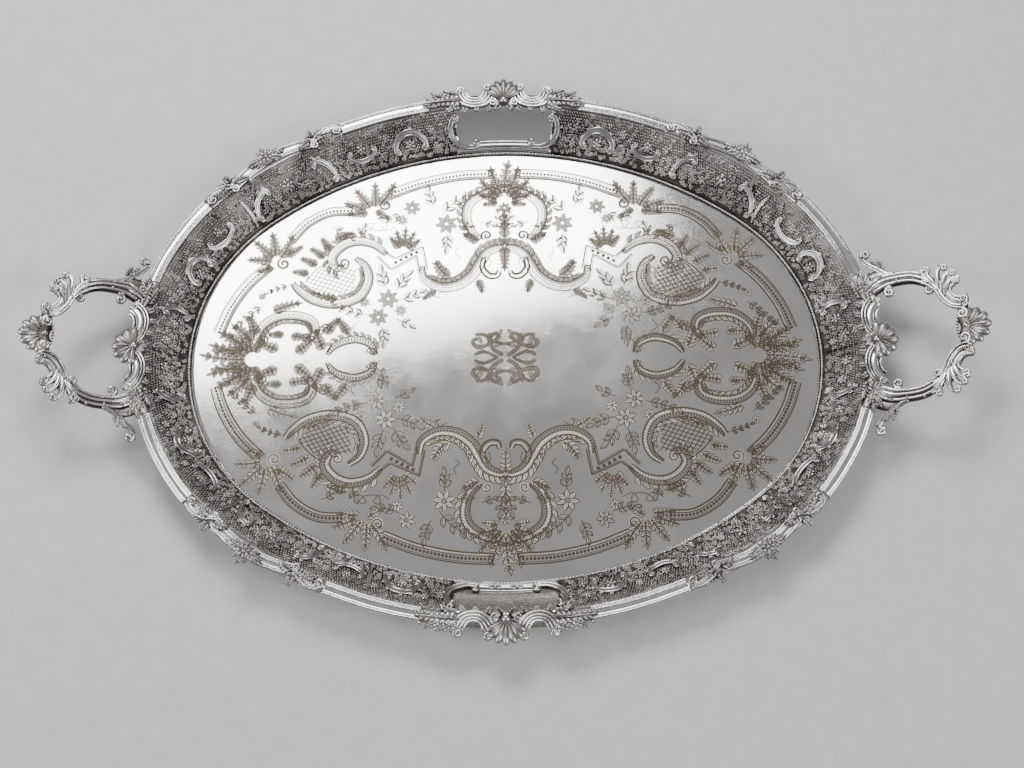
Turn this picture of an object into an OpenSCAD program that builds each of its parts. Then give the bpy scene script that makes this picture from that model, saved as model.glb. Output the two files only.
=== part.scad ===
// Oval two-handled salver in plated silver, in millimetres.
// Frame: origin on the table under the middle of the well, +X to the right handle, +Y to the back,
// +Z up. Every curve of the outline is parallel to one four-centre oval, the edge of the well:
// "out" is the distance outwards from that edge, and "turn" is the direction of the outline's normal,
// from 0 on the handle axis to 90 on the back axis.

/* [Well] */
// Half length of the flat well
well_a = 264; // [260:1:268]
// Half width of the flat well
well_b = 195; // [192:1:198]
// Thickness of the well plate
plate_t = 1.8; // [1.4:0.1:2.2]
// Radius of the beaded wire round the well
bead_r = 1.3; // [1.0:0.1:1.3]

/* [Border] */
// Width of the sloping border, seen from above
border_w = 32; // [31:0.5:33]
// Height of the border's outer edge above the table
border_h = 28.5; // [26:0.5:31]
// Height of the upright step at the border's foot
step_h = 3.4; // [2.8:0.1:4.0]
// Thickness of the border sheet
sheet_t = 1.4; // [1.2:0.1:1.6]
// Turn at which the plain panels at front and back begin
panel_turn = 83; // [82:0.5:84]

/* [Rim] */
// Width of the reeded rim moulding
rim_w = 12.4; // [12:0.1:12.8]
// Depth of the rim's turned-down outer lip
lip_h = 3; // [2:0.5:4]
// Turn at which the rim's end mount meets the end reed
end_turn = 17.5; // [17:0.5:18]
// Turn at which the end reed meets the corner mount
corner_turn = 41.7; // [41:0.1:42.5]
// Turn at which the corner mount meets the long reed
reed_turn = 67.6; // [67:0.1:68]
// Turn at which the long reed meets the shell mount
shell_turn = 79.8; // [79:0.1:80.5]

/* [Mounts] */
// Radius of the corner mount's arched lobe at its inner edge
lobe_r = 94; // [90:1:98]
// Half the angle that the lobe spans
lobe_span = 23.5; // [22.5:0.5:24.5]
// How far the middle of the lobe stands out from the straight rim
lobe_out = 2.6; // [2:0.2:3]
// Reach of the front and back shells beyond the rim's outer edge
shell_reach = 14; // [12:0.5:15]

/* [Handles] */
// Length over both handles
overall_l = 780; // [776:1:784]
// Upward tilt of the handles
handle_tilt = 22; // [18:1:24]
// Radius of the handle loop's centre line
loop_r = 50; // [49:0.5:51]

/* [Hidden] */
$fn = 48;
// The outline's end arcs and side arcs meet on the long side of a 3-4-5 triangle
unit = (well_a - well_b) / 2;
end_cx = 3 * unit;
side_cy = 4 * unit;
end_r = well_b - unit;
side_r = end_r + 5 * unit;
join_turn = atan2(4, 3);
foot_out = bead_r + 0.2;
flange_w = 6.5;
rim_in = border_w - 0.4;
rim_out = rim_in + rim_w;
lobe_turn = 56.6;
seat_z = border_h;
hinge_x = well_a + rim_out;
hinge_z = border_h + 2.5;
// Reach of the handle in its own tilted plane, to the tip of its shell
handle_reach = (overall_l / 2 - hinge_x) / cos(handle_tilt);
loop_cx = handle_reach - 66;
silver = [0.80, 0.80, 0.79];
tarnished = [0.55, 0.53, 0.52];
bright = [0.88, 0.88, 0.88];

QUARTERS = [["ne", 1, 1], ["nw", -1, 1], ["sw", -1, -1], ["se", 1, -1]];
SIDES = [["right", 1], ["left", -1]];
FACES = [["back", 1], ["front", -1]];

// A point on the outline, "out" millimetres outside the well's edge
function outline(turn, out) = turn < join_turn
  ? [end_cx + (end_r + out) * cos(turn), (end_r + out) * sin(turn)]
  : [(side_r + out) * cos(turn), (side_r + out) * sin(turn) - side_cy];

// The right end arc of a profile, drawn as [out, height], cut where the side arcs begin
module end_arc(from, to) {
  translate([end_cx, 0, 0])
    intersection() {
      rotate([0, 0, from]) rotate_extrude(angle = to - from, $fn = 96)
        translate([end_r, 0]) children();
      linear_extrude(height = 200, center = true) polygon(200 * [[0, 0], [3, 4], [8, 0], [3, -4]]);
    }
}

// The back side arc of a profile, cut where the end arcs begin
module side_arc(from, to) {
  translate([0, -side_cy, 0])
    intersection() {
      rotate([0, 0, from]) rotate_extrude(angle = to - from, $fn = 96)
        translate([side_r, 0]) children();
      linear_extrude(height = 200, center = true) polygon(200 * [[0, 0], [3, 4], [0, 8], [-3, 4]]);
    }
}

// Sweeps a profile along the outline between two turns, from 0 on the handle axis to 90 or more
module sweep(from, to) {
  if (from < join_turn) end_arc(from, min(to, join_turn + 1)) children();
  if (to > join_turn) side_arc(max(from, join_turn - 1), to) children();
}

// Sweeps a profile along the end arc of the right side, across the handle axis
module sweep_end(half_turn) {
  translate([end_cx, 0, 0]) rotate([0, 0, -half_turn])
    rotate_extrude(angle = 2 * half_turn, $fn = 96)
      translate([end_r, 0]) children();
}

// Puts a child drawn in the right back quarter into the quarter with these signs
module in_quarter(sx, sy) {
  mirror([sx < 0 ? 1 : 0, 0, 0]) mirror([0, sy < 0 ? 1 : 0, 0]) children();
}

// Puts a child at a point of the outline, with its +X along the outline's normal
module at_outline(turn, out, z) {
  p = outline(turn, out);
  translate([p.x, p.y, z]) rotate([0, 0, turn]) children();
}

// Sweeps a profile all round the outline
module sweep_round() {
  for (half = [0, 180])
    rotate([0, 0, half]) {
      end_arc(-join_turn - 1, join_turn + 1) children();
      side_arc(join_turn - 1, 181 - join_turn) children();
    }
}

// A flat plate with the well's outline, "out" millimetres larger, in short straight edges
module oval_plate(out, t) {
  steps = 36;
  end_half = [for (i = [-steps:steps - 1]) outline(join_turn * i / steps, out)];
  side_half = [for (i = [0:2 * steps - 1]) outline(join_turn + (90 - join_turn) * i / steps, out)];
  half = concat(end_half, side_half);
  linear_extrude(height = t) polygon(concat(half, -half));
}

// ---- profiles, drawn as [out, height] ----

// Upper surface of the border: an upright step, a rounded shoulder and a hollow slope
function slope(k) = let (start = foot_out + 1.4)
  [start + (border_w - 1 - start) * k, plate_t + step_h + 1 + (border_h - plate_t - step_h - 1) * pow(k, 1.3)];
BORDER_TOP = concat(
  [[foot_out, plate_t], [foot_out, plate_t + step_h], [foot_out + 0.4, plate_t + step_h + 0.7]],
  [for (i = [0:6]) slope(i / 6)],
  [[border_w - 1 + flange_w, border_h]]
);
BORDER_BACK = concat(
  [[border_w - 1 + flange_w, border_h - sheet_t]],
  [for (i = [6:-1:1]) slope(i / 6) + [sheet_t * 0.65, -sheet_t]],
  [[foot_out + sheet_t, plate_t + step_h - 0.9], [foot_out + sheet_t, plate_t]]
);
module border_profile() {
  polygon(concat(BORDER_TOP, BORDER_BACK));
}

// Points round a reed's crest, from its outer side to its inner side
function reed(centre, r, from, to, steps) =
  [for (i = [0:steps]) centre + r * [cos(from + (to - from) * i / steps), sin(from + (to - from) * i / steps)]];

RIM_FOOT = [[rim_w, -lip_h], [rim_w - 1.2, -lip_h], [rim_w - 1.4, 0], [0, 0]];

// The rim's plain body, seated on the border's flange, with a turned-down lip
module rim_body() {
  polygon(concat([[0, 2.2], [3.2, 4.2], [8.2, 4.4], [11, 4.0], [rim_w, 2.0]], RIM_FOOT));
}

// The rim's body with its reeds: an inner bead, three fine reeds and an outer roll
module rim_profile() {
  polygon(concat(
    reed([1.3, 2.4], 1.3, 180, 30, 3),
    [for (i = [0:2]) each reed([3.7 + 1.8 * i, 3.9], 0.9, 155, 25, 2)],
    reed([rim_w - 1.9, 2.9], 1.9, 145, 0, 4),
    RIM_FOOT
  ));
}

// ---- ornament ----

// A ring arc of reeded moulding, lying flat, from one angle to another
module reeded_arc(r, w, h, from, to) {
  profile = [[0, 0.5], [0.1, 0.75], [0.28, 0.75], [0.36, 0.6], [0.44, 1], [0.56, 1], [0.64, 0.6], [0.72, 0.75],
    [0.9, 0.75], [1, 0.5], [1, 0], [0, 0]];
  rotate([0, 0, from]) rotate_extrude(angle = to - from)
    translate([r, 0]) polygon([for (p = profile) [p.x * w, p.y * h]]);
}

// A scroll end: a disc with a boss
module volute(r, h) {
  cylinder(h = h * 0.7, r = r);
  cylinder(h = h, r = r * 0.45);
}

// A fan with a scalloped edge and raised ribs on a hub, opening along +X
module shell_fan(reach, half_angle, ribs, h) {
  step = 2 * half_angle / (ribs - 1);
  linear_extrude(height = h * 0.5)
    polygon(concat(
      [[-reach * 0.2, 0]],
      [for (i = [0:ribs - 1]) each [for (side = [-0.45, -0.2, 0.2, 0.45])
        let (a = -half_angle + step * (i + side), r = reach * (abs(side) > 0.3 ? 0.88 : 1)) [r * cos(a), r * sin(a)]]]
    ));
  for (i = [0:ribs - 1])
    rotate([0, 0, -half_angle + step * i])
      linear_extrude(height = h * 0.8)
        polygon([[0, -0.2], [reach * 0.9, -reach * 0.07], [reach * 0.9, reach * 0.07], [0, 0.2]]);
  cylinder(h = h, r = reach * 0.24);
}

// A leaf with toothed edges and a raised rib, its tip along +X
module leaf(length, w, h) {
  edge = [[0, 0.25], [0.25, 0.5], [0.32, 0.36], [0.55, 0.5], [0.62, 0.34], [0.85, 0.32], [1, 0]];
  other = [for (i = [5:-1:0]) [edge[i].x, -edge[i].y]];
  linear_extrude(height = h * 0.6) polygon([for (p = concat(edge, other)) [p.x * length, p.y * w]]);
  linear_extrude(height = h) polygon([[0, -0.12 * w], [length * 0.8, -0.4], [length * 0.8, 0.4], [0, 0.12 * w]]);
}

// A flower of round petals
module flower(r, h) {
  for (i = [0:4]) rotate([0, 0, 72 * i]) translate([r, 0, 0]) cylinder(h = h * 0.7, r = r * 0.62);
  cylinder(h = h, r = r * 0.45);
}

// ---- sub-parts ----

module well_plate() {
  color(bright) oval_plate(foot_out + sheet_t, plate_t);
}

module bead_wire() {
  color(silver)
    sweep_round()
      polygon(reed([0, plate_t + bead_r * 0.8], bead_r, 218, -38, 8));
}

module panel(sy) {
  color(bright) in_quarter(1, sy) sweep(panel_turn, 180 - panel_turn) border_profile();
}

// The border's length from the handle axis to the corner, on the end arc
module border_end(sx, sy) {
  color(tarnished) in_quarter(sx, sy) sweep(0, join_turn) border_profile();
}

// The border's length from the corner to the plain panel, on the side arc
module border_side(sx, sy) {
  color(tarnished) in_quarter(sx, sy) sweep(join_turn, panel_turn) border_profile();
}

module end_reed(sx, sy) {
  color(silver) in_quarter(sx, sy)
    sweep(end_turn, corner_turn) translate([rim_in, seat_z]) rim_profile();
}

module long_reed(sx, sy) {
  color(silver) in_quarter(sx, sy)
    sweep(reed_turn, shell_turn) translate([rim_in, seat_z]) rim_profile();
}

// Two leafy flanks, a reeded lobe arched between them, a tab at each foot and a flower on top
module corner_mount(sx, sy) {
  tab_turns = [48.5, 63.5];
  color(silver) in_quarter(sx, sy) {
    sweep(corner_turn, tab_turns[0] + 1.6) translate([rim_in, seat_z]) rim_body();
    sweep(tab_turns[1] - 0.9, reed_turn) translate([rim_in, seat_z]) rim_body();
    middle = outline(lobe_turn, rim_in + lobe_out);
    translate([middle.x, middle.y, seat_z + 0.25]) rotate([0, 0, lobe_turn])
      translate([-lobe_r, 0, 0]) rotate([0, 0, -lobe_span])
        rotate_extrude(angle = 2 * lobe_span, $fn = 96)
          translate([lobe_r, 0]) rim_profile();
    for (turn = tab_turns) {
      at_outline(turn, rim_out - 0.5, seat_z - 1) cylinder(h = 5, r = 3.6);
      at_outline(turn, rim_out + 2, seat_z + 0.5) cylinder(h = 3, r = 2.2);
      at_outline(turn, rim_in + 3, seat_z + 1) cylinder(h = 4.6, r = 3.4);
    }
    at_outline(corner_turn + 2.6, rim_in + 6.5, seat_z + 1.5) volute(4, 4.4);
    at_outline(reed_turn - 1.6, rim_in + 6.5, seat_z + 1.5) volute(4, 4.4);
    at_outline(lobe_turn, rim_out + lobe_out - 2, seat_z + 0.8) flower(5, 5.4);
  }
}

// A scallop shell between two outward C-scrolls, with leaves running out to the long reeds
module shell_mount(sy) {
  scroll_x = 23;
  scroll_r = 6.5;
  scroll_w = 10;
  scroll_y = well_b + rim_in + 1.5 + scroll_r + scroll_w;
  color(silver) in_quarter(1, sy) {
    sweep(shell_turn, 180 - shell_turn) translate([rim_in, seat_z]) square([9, 3]);
    for (sx = [1, -1])
      in_quarter(sx, 1) {
        translate([scroll_x, scroll_y, seat_z + 0.4]) reeded_arc(scroll_r, scroll_w, 5, 175, 352);
        at_outline(83.8, rim_in + 7, seat_z + 0.8) rotate([0, 0, -12]) leaf(12, 6, 4.8);
        at_outline(82, rim_in + 5, seat_z + 1.2) rotate([0, 0, -24]) leaf(11.5, 5.6, 4.8);
      }
    translate([0, well_b + rim_out, seat_z + 1.4]) rotate([0, 0, 90])
      shell_fan(shell_reach, 78, 9, 5.6);
  }
}

// The rim at a handle: an inner shell between two C-scrolls open to the handle, and leafy ends
module end_mount(sx) {
  scroll_y = 21;
  scroll_r = 9;
  scroll_w = 14;
  scroll_x = well_a + rim_in - 1 + scroll_r + scroll_w;
  color(silver) mirror([sx < 0 ? 1 : 0, 0, 0]) {
    sweep_end(11.5) translate([rim_in, seat_z]) square([rim_w - 1.5, 2.6]);
    for (sy = [1, -1])
      in_quarter(1, sy) {
        sweep(11, end_turn) translate([rim_in, seat_z]) rim_body();
        translate([scroll_x, scroll_y, seat_z + 0.3]) reeded_arc(scroll_r, scroll_w, 5, 112, 250);
        at_outline(14, rim_in + 1.5, seat_z + 2) leaf(9.5, 6, 3.6);
      }
    translate([hinge_x - 2, 0, seat_z + 0.8]) shell_fan(17, 62, 7, 5.4);
  }
}

// One cast loop in its own plane, where +X points away from the salver: a reeded ring that swells
// into leafy scrolls and a shell at the tip, and spreads into leaves where it meets the rim
module handle_loop() {
  ring_w = 9.5;
  ring_h = 7;
  ring_span = 108;
  translate([loop_cx, 0, -ring_h / 2]) {
    reeded_arc(loop_r - ring_w / 2, ring_w, ring_h, -ring_span, ring_span);
    for (sy = [1, -1])
      mirror([0, sy < 0 ? 1 : 0, 0]) {
        rotate([0, 0, 46]) translate([loop_r - 1, 0, 0.4]) rotate([0, 0, 20]) leaf(16, 9, 7);
        rotate([0, 0, 66]) translate([loop_r - 1, 0, 0.4]) rotate([0, 0, -5]) leaf(12, 8, 7);
        rotate([0, 0, 24]) translate([loop_r + 1, 0, 0.4]) volute(6.5, 6.8);
        rotate([0, 0, 58]) translate([loop_r - 8, 0, 0.8]) volute(4, 5.4);
        rotate([0, 0, 106]) translate([loop_r - 7, 0, 0.8]) volute(4.2, 5.4);
      }
    translate([loop_r - 2, 0, 0.6]) shell_fan(handle_reach - loop_cx - loop_r + 2, 74, 9, 7);
  }
  // The spreading leaf at each foot, and the curled tendril outside it
  for (sy = [1, -1])
    mirror([0, sy < 0 ? 1 : 0, 0]) {
      translate([0, 0, -3.2])
        linear_extrude(height = 5)
          polygon([[-16, 44], [6, 43.5], [15, 47], [14, 58], [4, 63], [-4, 73], [-22, 73]]);
      translate([-11, 71, -2.8]) reeded_arc(4.5, 4.5, 5, -30, 110);
      translate([-8, 78, -2.6]) volute(4.2, 5);
      translate([4, 59, -2.6]) rotate([0, 0, 75]) leaf(13, 5, 5);
    }
}

module handle(sx) {
  color(silver) mirror([sx < 0 ? 1 : 0, 0, 0])
    difference() {
      translate([hinge_x, 0, hinge_z]) rotate([0, -handle_tilt, 0]) handle_loop();
      // The foot ends against the outer face of the rim
      translate([end_cx, 0, 0]) cylinder(h = 100, r = end_r + rim_out, $fn = 96);
    }
}

well_plate();
bead_wire();
for (f = FACES) {
  panel(f[1]);
  shell_mount(f[1]);
}
for (q = QUARTERS) {
  border_end(q[1], q[2]);
  border_side(q[1], q[2]);
  end_reed(q[1], q[2]);
  long_reed(q[1], q[2]);
  corner_mount(q[1], q[2]);
}
for (s = SIDES) {
  end_mount(s[1]);
  handle(s[1]);
}
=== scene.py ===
"""An oval two-handled salver in plated silver.

It has a chased border, a reeded rim, cast mounts and handles, and an engraved well. Lengths inside the
shape functions are millimetres. "out" is the distance outwards from the well's edge, "turn" the direction
of the outline's normal, and "along" the length run along the outline from the handle axis.
"""
import math
import bpy
import numpy as np
from mathutils import Matrix, Vector


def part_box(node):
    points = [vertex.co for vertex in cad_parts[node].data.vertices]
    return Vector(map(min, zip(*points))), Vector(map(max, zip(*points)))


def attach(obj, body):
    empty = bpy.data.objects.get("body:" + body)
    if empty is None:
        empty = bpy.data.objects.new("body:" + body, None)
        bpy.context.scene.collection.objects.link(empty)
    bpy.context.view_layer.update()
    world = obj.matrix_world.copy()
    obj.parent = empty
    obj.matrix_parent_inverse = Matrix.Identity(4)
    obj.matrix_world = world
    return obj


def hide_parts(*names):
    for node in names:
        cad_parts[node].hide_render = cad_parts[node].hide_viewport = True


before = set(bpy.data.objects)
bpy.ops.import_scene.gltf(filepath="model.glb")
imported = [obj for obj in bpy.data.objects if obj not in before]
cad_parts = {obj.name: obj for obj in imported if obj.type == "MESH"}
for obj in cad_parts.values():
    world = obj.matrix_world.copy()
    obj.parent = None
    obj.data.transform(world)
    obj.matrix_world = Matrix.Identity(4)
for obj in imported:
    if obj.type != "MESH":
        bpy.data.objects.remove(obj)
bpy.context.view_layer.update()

MM = 0.001
QUARTERS = {"ne": (1, 1), "nw": (-1, 1), "sw": (-1, -1), "se": (1, -1)}

# ---- sizes, from the frame ----


def node_box(name):
    """A CAD node's lowest and highest corners, in millimetres."""
    low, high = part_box(name)
    return np.array(low) / MM, np.array(high) / MM


WIRE_LOW, WIRE_HIGH = node_box("bead_wire")
PLATE_T = WIRE_LOW[2]
# The worn upper face lies this far below the plate's full thickness
PLATE_WEAR = 0.14
BEAD_R = (WIRE_HIGH[2] - PLATE_T) / 1.8
BEAD_PITCH = 2.62
WELL_A = WIRE_HIGH[0] - BEAD_R
WELL_B = WIRE_HIGH[1] - BEAD_R
BORDER_H = node_box("border_end_ne")[1][2]
HALF_LENGTH = node_box("handle_right")[1][0]
BORDER_W = 32.0
STEP_H = 3.4
SHEET_T = 1.4
PELLET_PITCH = 2.15
FOOT_OUT = BEAD_R + 0.2
SLOPE_START = FOOT_OUT + 1.4
RIM_IN = BORDER_W - 0.4
FLANGE_OUT = RIM_IN + 5.9
RIM_W = 12.4
RIM_OUT = RIM_IN + RIM_W
HINGE_X = WELL_A + RIM_OUT
HINGE_Z = BORDER_H + 2.5
TILT = math.radians(22)
REACH = (HALF_LENGTH - HINGE_X) / math.cos(TILT)

# The outline's arcs meet on the long side of a 3-4-5 triangle
UNIT = (WELL_A - WELL_B) / 2
END_CX = 3 * UNIT
SIDE_CY = 4 * UNIT
END_R = WELL_B - UNIT
SIDE_R = END_R + 5 * UNIT
JOIN = math.atan2(4, 3)
MID_OUT = 20.0
JOIN_ALONG = JOIN * (END_R + MID_OUT)


def turn_at(along):
    """The outline's normal direction, in radians, at a length along it."""
    on_side = JOIN + (along - JOIN_ALONG) / (SIDE_R + MID_OUT)
    return np.where(along < JOIN_ALONG, along / (END_R + MID_OUT), on_side)


def along_at(degrees):
    """The length along the outline at which its normal has a direction, in degrees."""
    turn = math.radians(degrees)
    if turn < JOIN:
        return turn * (END_R + MID_OUT)
    return JOIN_ALONG + (turn - JOIN) * (SIDE_R + MID_OUT)


# Lengths along the outline at which neighbouring pieces meet, and where the short axis crosses it
END_MEETS = along_at(17.5)
CORNER_MEETS = along_at(41.7)
REED_MEETS = along_at(67.6)
SHELL_MEETS = along_at(79.8)
PANEL_MEETS = along_at(83)
AXIS_ALONG = along_at(90)


def outline(turn, out):
    """Points of the outline, as an array of [x, y], at turns in radians."""
    on_end = turn < JOIN
    x = np.where(on_end, END_CX + (END_R + out) * np.cos(turn), (SIDE_R + out) * np.cos(turn))
    y = np.where(on_end, (END_R + out) * np.sin(turn), (SIDE_R + out) * np.sin(turn) - SIDE_CY)
    return np.stack([x, y], -1)


def slope_height(out):
    """Height of the border's upper surface: a hollow slope above its upright step."""
    foot = PLATE_T + STEP_H + 1
    share = np.clip((out - SLOPE_START) / (BORDER_W - 1 - SLOPE_START), 0, 1)
    return foot + (BORDER_H - foot) * share ** 1.3


def plate_wave(x, y):
    """The well's slight unevenness, from years of use."""
    return 0.07 * np.sin(x / 31 + y / 57) + 0.06 * np.sin(y / 27 - x / 83 + 1.3)


# ---- places: each turns local [x, y, height] points into the salver's frame ----


def on_plate(points):
    """Height stands off the well's worn upper face."""
    x, y, height = points.T
    return np.stack([x, y, PLATE_T + plate_wave(x, y) - PLATE_WEAR + height], 1)


def on_outline(points):
    """Local x runs along the outline, y outwards, and height is measured from the floor."""
    along, out, height = points.T
    return np.column_stack([outline(turn_at(along), out), height])


def on_border(points):
    """Local x runs along the outline, y outwards, and height stands off the sloping surface."""
    along, out, height = points.T
    rise = (slope_height(out + 0.2) - slope_height(out - 0.2)) / 0.4
    lean = np.sqrt(1 + rise * rise)
    place = outline(turn_at(along), out - height * rise / lean)
    return np.column_stack([place, slope_height(out) + height / lean])


def on_rim(points):
    """Local x runs along the outline, y outwards, and height stands off the border's flange."""
    return on_outline(points + np.array([0, 0, BORDER_H]))


def from_axis(points):
    """Local x runs along the outline from the middle of a long side."""
    return points + np.array([AXIS_ALONG, 0, 0])


def at_hinge(points):
    """Local x runs outwards from the rim at the handle, lying level."""
    return points + np.array([HINGE_X, 0, BORDER_H])


def on_handle(points):
    """Local x runs outwards in the handle's tilted plane."""
    x, y, height = points.T
    return np.stack([
        HINGE_X + x * math.cos(TILT) - height * math.sin(TILT),
        y,
        HINGE_Z + x * math.sin(TILT) + height * math.cos(TILT),
    ], 1)


# A length along the outline with a distance outwards makes a left-handed frame
MIRRORED_PLACES = (on_outline, on_border, on_rim)


# ---- gathering small forms into one mesh ----


class Form:
    """Points and faces gathered from many small shapes. Relief is 1 on crests and 0 in hollows; it sets how
    bright a point is painted, with tarnish and painted shade in hollows, on undersides and at roots.
    """

    def __init__(self):
        self.points = []
        self.relief = []
        self.quads = []
        self.tris = []
        self.count = 0

    def add(self, points, relief, quads=(), tris=()):
        """Takes in one shape; its faces count its own points from 0."""
        self.quads.append(np.asarray(quads, int).reshape(-1, 4) + self.count)
        self.tris.append(np.asarray(tris, int).reshape(-1, 3) + self.count)
        self.points.append(np.asarray(points, float))
        self.relief.append(np.broadcast_to(np.asarray(relief, float), (len(points),)))
        self.count += len(points)

    def join(self, other):
        """Takes in another form's shapes one by one, so that they can still be told apart."""
        self.quads += [quads + self.count for quads in other.quads]
        self.tris += [tris + self.count for tris in other.tris]
        self.points += other.points
        self.relief += other.relief
        self.count += other.count
        return self

    def remade(self, points, flip):
        """The same faces on new points, turned over where flip is true."""
        other = Form()
        other.points, other.relief, other.count = [points], [np.concatenate(self.relief)], self.count
        other.quads = [quads[:, ::-1] if flip else quads for quads in self.quads]
        other.tris = [tris[:, ::-1] if flip else tris for tris in self.tris]
        return other

    def placed(self, place):
        """The same form moved by a place function, with its faces still turned outwards."""
        return self.remade(place(np.concatenate(self.points)), place in MIRRORED_PLACES)

    def mirrored(self, x=False, y=False):
        """The same form mirrored in the planes named, with its faces still turned outwards."""
        signs = np.array([-1 if x else 1, -1 if y else 1, 1])
        return self.remade(np.concatenate(self.points) * signs, x != y)


def make_object(name, form, material, replaced=()):
    """Builds the mesh of a form, in metres, and ties it to the frame."""
    points = np.concatenate(form.points) * MM
    quads, tris = np.concatenate(form.quads), np.concatenate(form.tris)
    mesh = bpy.data.meshes.new(name)
    mesh.vertices.add(len(points))
    mesh.vertices.foreach_set("co", points.astype(np.float32).ravel())
    corners = np.concatenate([quads.ravel(), tris.ravel()]).astype(np.int32)
    starts = np.concatenate([np.arange(len(quads)) * 4, len(quads) * 4 + np.arange(len(tris)) * 3])
    mesh.loops.add(len(corners))
    mesh.loops.foreach_set("vertex_index", corners)
    mesh.polygons.add(len(starts))
    mesh.polygons.foreach_set("loop_start", starts.astype(np.int32))
    mesh.polygons.foreach_set("use_smooth", np.ones(len(starts), bool))
    mesh.update(calc_edges=True)
    mesh.validate()
    relief = mesh.attributes.new("relief", "FLOAT", "POINT")
    relief.data.foreach_set("value", np.concatenate(form.relief).astype(np.float32))
    mesh.materials.append(material)
    piece = bpy.data.objects.new(name, mesh)
    bpy.context.scene.collection.objects.link(piece)
    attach(piece, "root")
    if replaced:
        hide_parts(*replaced)
    return piece


def make_quarters(kind, ending, form, material):
    """Four mirror images of one form, each in the place of its own CAD node."""
    for quarter, (sx, sy) in QUARTERS.items():
        name = kind + "_" + quarter
        make_object(name + ending, form.mirrored(sx < 0, sy < 0), material, [name])


def grid_faces(rows, columns, closed=False):
    """Quads of a grid of points stored row by row; a closed grid joins each row's end to its start."""
    r, c = np.meshgrid(np.arange(rows - 1), np.arange(columns if closed else columns - 1), indexing="ij")
    here, above, after = r * columns, (r + 1) * columns, (c + 1) % columns
    return np.stack([here + c, here + after, above + after, above + c], -1).reshape(-1, 4)


def tube_faces(rings, sides):
    """Quads and end triangles of a row of rings; the points at the first and last end follow the rings."""
    around = np.arange(sides)
    after = (around + 1) % sides
    top = (rings - 1) * sides
    tris = np.concatenate([
        np.stack([np.full(sides, rings * sides), after, around], 1),
        np.stack([np.full(sides, rings * sides + 1), top + around, top + after], 1),
    ])
    return grid_faces(rings, sides, closed=True), tris


def add_copies(form, points, relief, faces):
    """Adds shapes alike: points is an array of shape by point by axis; relief and faces are one shape's."""
    count, stride = points.shape[:2]
    offset = (np.arange(count) * stride)[:, None, None]
    quads, tris = (part[None] + offset for part in faces)
    form.add(points.reshape(-1, 3), np.tile(relief, count), quads, tris)


# ---- directions and paths ----


def rays(angle):
    """Unit vectors at angles in radians."""
    return np.stack([np.cos(angle), np.sin(angle)], -1)


def direction(heading):
    """The unit vector at a heading in degrees."""
    turn = math.radians(heading)
    return np.array([math.cos(turn), math.sin(turn)])


def heading_of(step):
    """The heading of a step, in degrees."""
    return math.degrees(math.atan2(step[1], step[0]))


def normals(path):
    """Unit vectors to the left of a path, one at each of its points."""
    tangent = np.gradient(path, axis=0)
    tangent /= np.linalg.norm(tangent, axis=1, keepdims=True) + 1e-9
    return np.stack([-tangent[:, 1], tangent[:, 0]], 1)


def spread_to(count, *values):
    """Each value, one number or many, as an array of count numbers."""
    return [np.broadcast_to(np.asarray(value, float), (count,)) for value in values]


def offset_path(path, by):
    """A path to the left of another, by one distance or by one for each point."""
    return path + normals(path) * spread_to(len(path), by)[0][:, None]


def curve_points(start, heading, bend, length, share):
    """Points at shares of an arc that leaves start at a heading and turns by bend; angles in radians."""
    bend = np.where(np.abs(bend) < 1e-4, 1e-4, bend)
    x = start[..., 0] + length * (np.sin(heading + bend * share) - np.sin(heading)) / bend
    y = start[..., 1] - length * (np.cos(heading + bend * share) - np.cos(heading)) / bend
    return np.stack([x, y], -1)


def spline(knots, n=60):
    """A smooth path through knots, by Catmull-Rom pieces."""
    knots = np.asarray(knots, float)
    padded = np.concatenate([[2 * knots[0] - knots[1]], knots, [2 * knots[-1] - knots[-2]]])
    t = np.linspace(0, len(knots) - 1 - 1e-9, n)
    i = t.astype(int)
    f = (t - i)[:, None]
    a, b, c, d = (padded[i + k] for k in range(4))
    square, cube = 2 * a - 5 * b + 4 * c - d, 3 * b - 3 * c + d - a
    return 0.5 * (2 * b + (c - a) * f + square * f ** 2 + cube * f ** 3)


def turtle(start, heading, runs, step=0.7):
    """A path from runs of (length, first curvature, last curvature), in degrees per millimetre."""
    rates, steps = [], []
    for length, first, last in runs:
        n = max(2, int(round(length / step)))
        rates.append(np.linspace(first, last, n) * length / n)
        steps.append(np.full(n, length / n))
    rates, steps = np.concatenate(rates), np.concatenate(steps)
    moves = rays(np.radians(heading + np.cumsum(rates) - rates / 2)) * steps[:, None]
    return np.concatenate([[start], np.asarray(start) + np.cumsum(moves, 0)])


def c_path(middle, heading, half, curve, curl, tight=55.0):
    """A C-scroll's path: an arc through its middle that winds up into a volute at both ends."""
    tight = math.copysign(tight, curve)
    ahead = turtle(middle, heading, [(half, curve, curve * 1.3), (curl, curve * 2.5, tight)])
    behind = turtle(middle, heading + 180, [(half, -curve, -curve * 1.3), (curl, -curve * 2.5, -tight)])
    return np.concatenate([behind[:0:-1], ahead])


# ---- the ornament kit: every shape lies in the local xy plane and stands up in z ----


def ring_angles(sides):
    """Angles about a tube's path, from the top round by the right."""
    return math.pi / 2 + 2 * math.pi * np.arange(sides) / sides


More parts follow.
